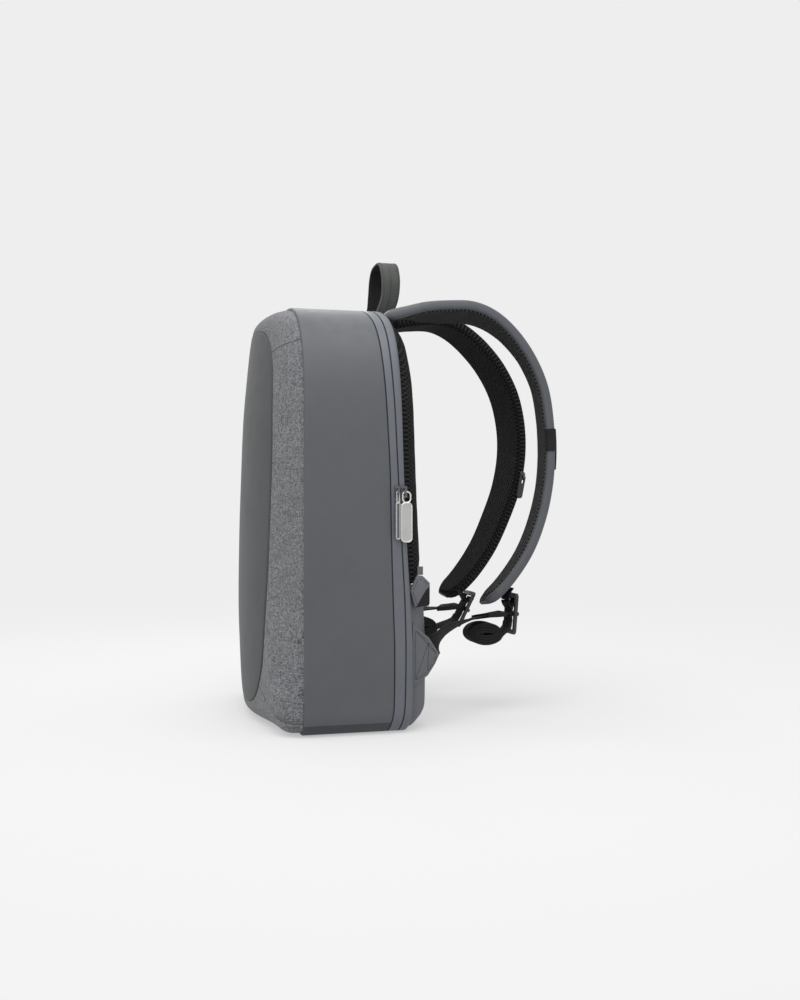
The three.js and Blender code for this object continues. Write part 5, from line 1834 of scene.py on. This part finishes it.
    def build(self, wardrobe: Wardrobe) -> None:
        """Builds and dresses all pieces of this side.

        Args:
            wardrobe: gives the finishes.
        """
        label, x = self.side.label, self.buckle_x * self.side.value
        flat = rounded_section(self.width, self.thick, 0.0006, 3, 6)
        lower = self.lower_frames()
        self.band(f"webbing_lower_{label}", lower, flat, wardrobe, (f"lower_webbing_{label}",))
        end_rows = [(np.array([x, y / 1000 + self.end_shift, z / 1000]), 0.0) for y, z in self.end_rows]
        end = self.webbing(end_rows, 28)
        self.band(f"webbing_end_{label}", end, flat, wardrobe, (f"end_webbing_{label}",))
        self.keeper(lower, wardrobe)
        rolled = rounded_section(self.width, self.roll_thick, 0.0008, 3, 6)
        self.band(f"rolled_tail_{label}", self.roll_frames(), rolled, wardrobe, (f"webbing_roll_{label}",))
        self.wing(wardrobe)
        self.threaded(wardrobe)
        wardrobe.keep(f"ladder_buckle_{label}", PLASTIC, 0.0007)

    def threaded(self, wardrobe: Wardrobe) -> None:
        """Builds the webbing that passes round the bars inside the buckle.

        Args:
            wardrobe: gives the finish.
        """
        top, bottom, up, front = self.buckle_line()
        middle = (top + bottom) / 2
        points = [middle + up * rise / 1000 + front * out / 1000 for rise, out in self.threading]
        narrow = rounded_section(self.width - 0.0008, self.thick, 0.0006, 3, 6)
        self.band(f"webbing_threaded_{self.side.label}", self.level_band(points, 8), narrow, wardrobe)

    def keeper(self, lower: Frames, wardrobe: Wardrobe) -> None:
        """Builds the keeper sleeve round the lower webbing.

        Args:
            lower: frames of that webbing.
            wardrobe: gives the finish.
        """
        part = lower.part(self.keeper_from, self.keeper_to + 1)
        label = self.side.label
        piece = MeshMaker.sleeve(
            f"keeper_sleeve_{label}", part, (self.width, self.thick), self.keeper_clear, self.keeper_thick,
            (0.0008, 0.0003), (3, 6),
        )
        wardrobe.dress(piece, BLACK_WEB, nodes=(f"keeper_{label}",))


@dataclass
class StrapElastic:
    """Elastic sleeve round the right strap and its folded tail."""

    strap: ShoulderStrap
    from_row: float = 10.3
    to_row: float = 11.0
    tail_to_row: float = 11.5
    clear: float = 0.0002
    wall: float = 0.0009
    tail_half: float = 0.011
    tail_thick: float = 0.003
    tail_lift: float = 0.0016
    sleeve_steps: int = 12
    tail_steps: int = 24

    def build(self, wardrobe: Wardrobe) -> None:
        """Builds and dresses the sleeve and the tail.

        Args:
            wardrobe: gives the finish.
        """
        strap = self.strap
        frames, _ = strap.frames(np.linspace(self.from_row, self.to_row, self.sleeve_steps + 1))
        piece = MeshMaker.sleeve(
            "elastic_sleeve", frames.shifted(-strap.thick / 2), (strap.half * 2, strap.thick),
            self.clear, self.wall, (0.0045, 0.003), (5, 10),
        )
        wardrobe.dress(piece, BLACK_WEB, nodes=("strap_elastic",))
        tail, _ = strap.frames(np.linspace(self.from_row, self.tail_to_row, self.tail_steps + 1))
        lift = self.tail_lift + self.tail_thick / 2
        section = rounded_section(self.tail_half * 2, self.tail_thick, 0.0013, 4, 6)
        sections = [section] * (self.tail_steps + 1)
        piece = MeshMaker.sweep("elastic_tail", tail.shifted(lift), sections)
        wardrobe.dress(piece, BLACK_WEB, nodes=("strap_elastic_tail",))


@dataclass
class SideTab:
    """Folded tab at the side of the back, with a dark elastic face."""

    x: float = 0.1424
    thick: float = 0.0048
    outline: tuple[Pair, ...] = (
        (0.0829, 0.1286), (0.0976, 0.1306), (0.0988, 0.133), (0.0989, 0.1546), (0.0912, 0.162),
        (0.085, 0.1627), (0.0775, 0.147),
    )
    elastic: tuple[Pair, ...] = (
        (0.0836, 0.1294), (0.0973, 0.1313), (0.0983, 0.1335), (0.0984, 0.151), (0.0945, 0.1475)
    )
    elastic_thick: float = 0.0005

    @staticmethod
    def flat_plate(
        name: str, outline: tuple[Pair, ...], start: float, thick: float, rows: tuple[Pair, ...]
    ) -> bpy.types.Object:
        """Makes a plate that stands across X.

        Args:
            name: name of the piece.
            outline: its corners as y and z pairs.
            start: X where the depth is zero.
            thick: distance from there to a depth of one.
            rows: depth of each loop and the share by which it is drawn in.

        Returns:
            The plate's object.
        """
        flat = np.array(outline)
        heart = flat.mean(axis=0)
        dense = dense_outline(flat, 6)
        loops = [
            np.column_stack([np.full(len(dense), start + thick * depth), dense + (heart - dense) * share])
            for depth, share in rows
        ]
        top, bottom = (np.array([start + thick * rows[end][0], *heart]) for end in (0, -1))
        return MeshMaker.plate(name, np.array(loops), top, bottom)

    def build(self, wardrobe: Wardrobe) -> None:
        """Builds and dresses the tab, the elastic on its lower rear and the slider.

        Args:
            wardrobe: gives the finishes.
        """
        folded = ((1.0, 0.09), (0.9, 0.025), (0.72, 0.0), (0.28, 0.0), (0.1, 0.025), (0.0, 0.09))
        piece = self.flat_plate("side_fold_tab", self.outline, self.x, self.thick, folded)
        wardrobe.dress(piece, DARK_SLATE, nodes=("side_tab",))
        face = self.x + self.thick
        sewn = ((1.0, 0.08), (0.8, 0.02), (0.2, 0.0), (-1.0, 0.0), (-1.0, 0.1))
        piece = self.flat_plate("side_tab_elastic", self.elastic, face, self.elastic_thick, sewn)
        wardrobe.dress(piece, BLACK_WEB)
        flat = np.array(self.outline)
        heart = flat.mean(axis=0)
        corners = [np.array([face + THREAD_LIFT, *(point + (heart - point) * 0.22)]) for point in flat]
        out = np.tile([1.0, 0.0, 0.0], (8, 1))
        rows = [(np.linspace(start, end, 8), out) for start, end in zip(corners, corners[1:] + corners[:1])]
        Stitching(pitch=0.0028, length=0.002).build("side_tab_stitches", rows, wardrobe)
        wardrobe.keep("side_tab_slider", GUNMETAL, 0.0006)


@dataclass
class ZipHardware:
    """Sliders and pullers of the main and pocket zips."""

    plate_thick: float = 0.0026
    loop_high: float = 0.0115
    wire: float = 0.0009
    rim: float = 0.0013
    recess: float = 0.0005

    def outline(self, half: float, bottom: float, top: float, inset: float, corner: float) -> np.ndarray:
        """Rounded rectangle as y and z values about the puller's middle line.

        Args:
            half: half its width before the inset.
            bottom: its lowest height before the inset.
            top: its highest height before the inset.
            inset: distance that all sides move inwards.
            corner: radius of its corners before the inset.

        Returns:
            Closed loop of points.
        """
        edge = max(corner - inset, 0.0004)
        section = rounded_section((half - inset) * 2, top - bottom - inset * 2, edge, 8, 4)
        return section + (0.0, (top + bottom) / 2)

    def puller(
        self, name: str, node: str, finishes: tuple[Finish, Finish], body: Body, wardrobe: Wardrobe
    ) -> None:
        """Builds a puller: rounded plate with a recessed face, and the wire loop above it.

        Args:
            name: name of the new pieces.
            node: the puller's solid, which they stand for.
            finishes: finish of the rim and of the recess.
            body: body that the puller turns on.
            wardrobe: gives the finishes.
        """
        low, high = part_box(node)
        x, middle, half = (low.x + high.x) / 2, (low.y + high.y) / 2, (high.y - low.y) / 2
        thick, corner = self.plate_thick / 2, min(half * 0.85, 0.0048)
        top = high.z - self.loop_high

        def loop(inset: float, out: float) -> np.ndarray:
            """One loop of the plate at a depth."""
            flat = self.outline(half, low.z, top, inset, corner)
            return np.column_stack([np.full(len(flat), x + out), flat[:, 0] + middle, flat[:, 1]])

        sunk = thick - self.recess
        face = [(self.rim + 0.0009, sunk), (self.rim + 0.0003, sunk), (self.rim, thick - 0.0001)]
        side = [(0.0007, thick), (0.0002, thick - 0.0003), (0.0, thick - 0.0008)]
        profile = face + side + [(inset, -out) for inset, out in (face + side)[::-1]]
        loops = np.array([loop(inset, out) for inset, out in profile])
        centre = (low.z + top) / 2
        plate = MeshMaker.plate(
            f"{name}_plate", loops, np.array([x + thick - self.recess, middle, centre]),
            np.array([x - thick + self.recess, middle, centre]),
        )
        wardrobe.dress(plate, finishes[0], body, nodes=(node,))
        plate.data.materials.append(wardrobe.material(finishes[1]))
        count = loops.shape[1]
        for polygon in plate.data.polygons:
            first, last = polygon.index < count, polygon.index >= count * (len(loops) - 2)
            polygon.material_index = 1 if first or last else 0
        ring = self.outline(half * 0.82, top - self.wire * 1.5, high.z, self.wire, corner)
        centres = np.column_stack([np.full(len(ring), x), ring[:, 0] + middle, ring[:, 1]])
        centres = np.vstack([centres, centres[:1]])
        along = unit(np.gradient(centres, axis=0))
        across = np.tile([1.0, 0.0, 0.0], (len(centres), 1))
        section = rounded_section(self.wire * 2, self.wire * 2, self.wire, 4, 1)
        frames = Frames(centres, across, unit(np.cross(along, across)))
        wire = MeshMaker.sweep(f"{name}_loop", frames, [section] * len(centres))
        wardrobe.dress(wire, finishes[0], body)

    def build(self, wardrobe: Wardrobe) -> None:
        """Builds the pullers and dresses the sliders.

        Args:
            wardrobe: gives the finishes.
        """
        for node in ("zip_slider_front", "zip_slider_rear", "pocket_slider"):
            wardrobe.keep(node, GUNMETAL, 0.0003)
        wardrobe.keep("pocket_puller", PLASTIC, 0.0004)
        self.puller("rear_puller", "zip_puller_rear", (SILVER, RECESS), Body.REAR_PULLER, wardrobe)
        self.puller("front_puller", "zip_puller_front", (RECESS, GUNMETAL), Body.FRONT_PULLER, wardrobe)


@dataclass
class Studio:
    """Pale floor, soft light and the camera."""

    back: float = 0.855
    floor_size: float = 60.0
    sun_strength: float = 1.1
    floor_albedo: float = 0.38
    crown_power: float = 1.3
    sun_direction: Rgb = (-0.35, 0.45, -0.82)
    sun_spread: float = 70.0
    panel_size: Pair = (0.35, 0.5)
    panel_spot: Rgb = (0.42, 0.02, 0.72)
    panel_direction: Rgb = (-0.55, 0.0, -0.83)
    eye: Rgb = (1.2677, -0.2337, 0.2406)
    look: Rgb = (-0.9659, 0.2588, 0.0)
    lens: float = 40.54

    def build(self) -> None:
        """Makes the floor, the lights and the camera."""
        scene = bpy.context.scene
        scene.view_settings.view_transform = "Standard"
        world = bpy.data.worlds.new("studio_air")
        world.use_nodes = True
        air = world.node_tree.nodes["Background"].inputs["Color"]
        air.default_value = (self.back, self.back, self.back, 1)
        scene.world = world
        self.floor()
        sun = bpy.data.lights.new("soft_sun", "SUN")
        sun.energy = self.sun_strength
        sun.angle = math.radians(self.sun_spread)
        self.place("soft_sun", sun, (0, 0, 3), self.sun_direction)
        for name, side in (("crown_panel_right", 1), ("crown_panel_left", -1)):
            panel = bpy.data.lights.new(name, "AREA")
            panel.shape, panel.energy = "RECTANGLE", self.crown_power
            panel.size, panel.size_y = self.panel_size
            mirror = Vector((side, 1.0, 1.0))
            spot, direction = (mirror * Vector(row) for row in (self.panel_spot, self.panel_direction))
            made = self.place(name, panel, spot, direction)
            made.visible_camera = False
        camera = bpy.data.cameras.new("camera")
        camera.lens = self.lens
        camera.sensor_width = 36
        camera.clip_start = 0.01
        scene.camera = self.place("camera", camera, self.eye, self.look)

    def floor(self) -> None:
        """Makes the pale floor, whose brightness meets the air behind it."""
        half = self.floor_size / 2
        points = np.array([(-half, -half, 0), (half, -half, 0), (half, half, 0), (-half, half, 0)], float)
        piece = MeshMaker.build("studio_floor", points, [(0, 1, 2, 3)], [(0, 0), (1, 0), (1, 1), (0, 1)])
        direction = Vector(self.sun_direction).normalized()
        lit = self.back + self.sun_strength * abs(direction.z) / math.pi
        albedo, glow = self.floor_albedo, self.back - self.floor_albedo * lit
        material = bpy.data.materials.new("pale_floor")
        material.use_nodes = True
        shader = material.node_tree.nodes["Principled BSDF"]
        shader.inputs["Base Color"].default_value = (albedo, albedo, albedo, 1)
        shader.inputs["Roughness"].default_value = 1.0
        shader.inputs["Specular IOR Level"].default_value = 0.0
        shader.inputs["Emission Color"].default_value = (1, 1, 1, 1)
        shader.inputs["Emission Strength"].default_value = glow
        piece.data.materials.append(material)

    @staticmethod
    def place(
        name: str, data: bpy.types.ID, spot: Sequence[float], direction: Sequence[float]
    ) -> bpy.types.Object:
        """Adds a light or camera at a spot, looking in a direction."""
        made = bpy.data.objects.new(name, data)
        made.location = spot
        made.rotation_mode = "QUATERNION"
        made.rotation_quaternion = Vector(direction).to_track_quat("-Z", "Y")
        bpy.context.scene.collection.objects.link(made)
        return made


def main() -> None:
    """Builds all sub-assemblies in order and notes the sizes."""
    logging.basicConfig(level=logging.INFO, format="%(name)s: %(message)s")
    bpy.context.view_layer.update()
    Studio().build()
    wardrobe = Wardrobe()
    form = BodyForm()
    right = ShoulderStrap(Side.RIGHT, lining_short=10)
    assemblies = (
        SideWalls(form),
        FrontDome(form),
        BackCushions(form),
        Handle(),
        right,
        ShoulderStrap(Side.LEFT),
        StrapElastic(right),
        LowerSet(Side.RIGHT),
        LowerSet(
            Side.LEFT, end_shift=-0.0124, shift_y=-0.0153, shift_z=-0.002,
            buckle_top=(0.2135, 0.127), buckle_bottom=(0.1925, 0.0855), roll_centre=(0.147, 0.0865),
        ),
        SideTab(),
        ZipHardware(),
    )
    for assembly in assemblies:
        assembly.build(wardrobe)
        LOG.info("finished %s", type(assembly).__name__)


if __name__ == "__main__":
    main()
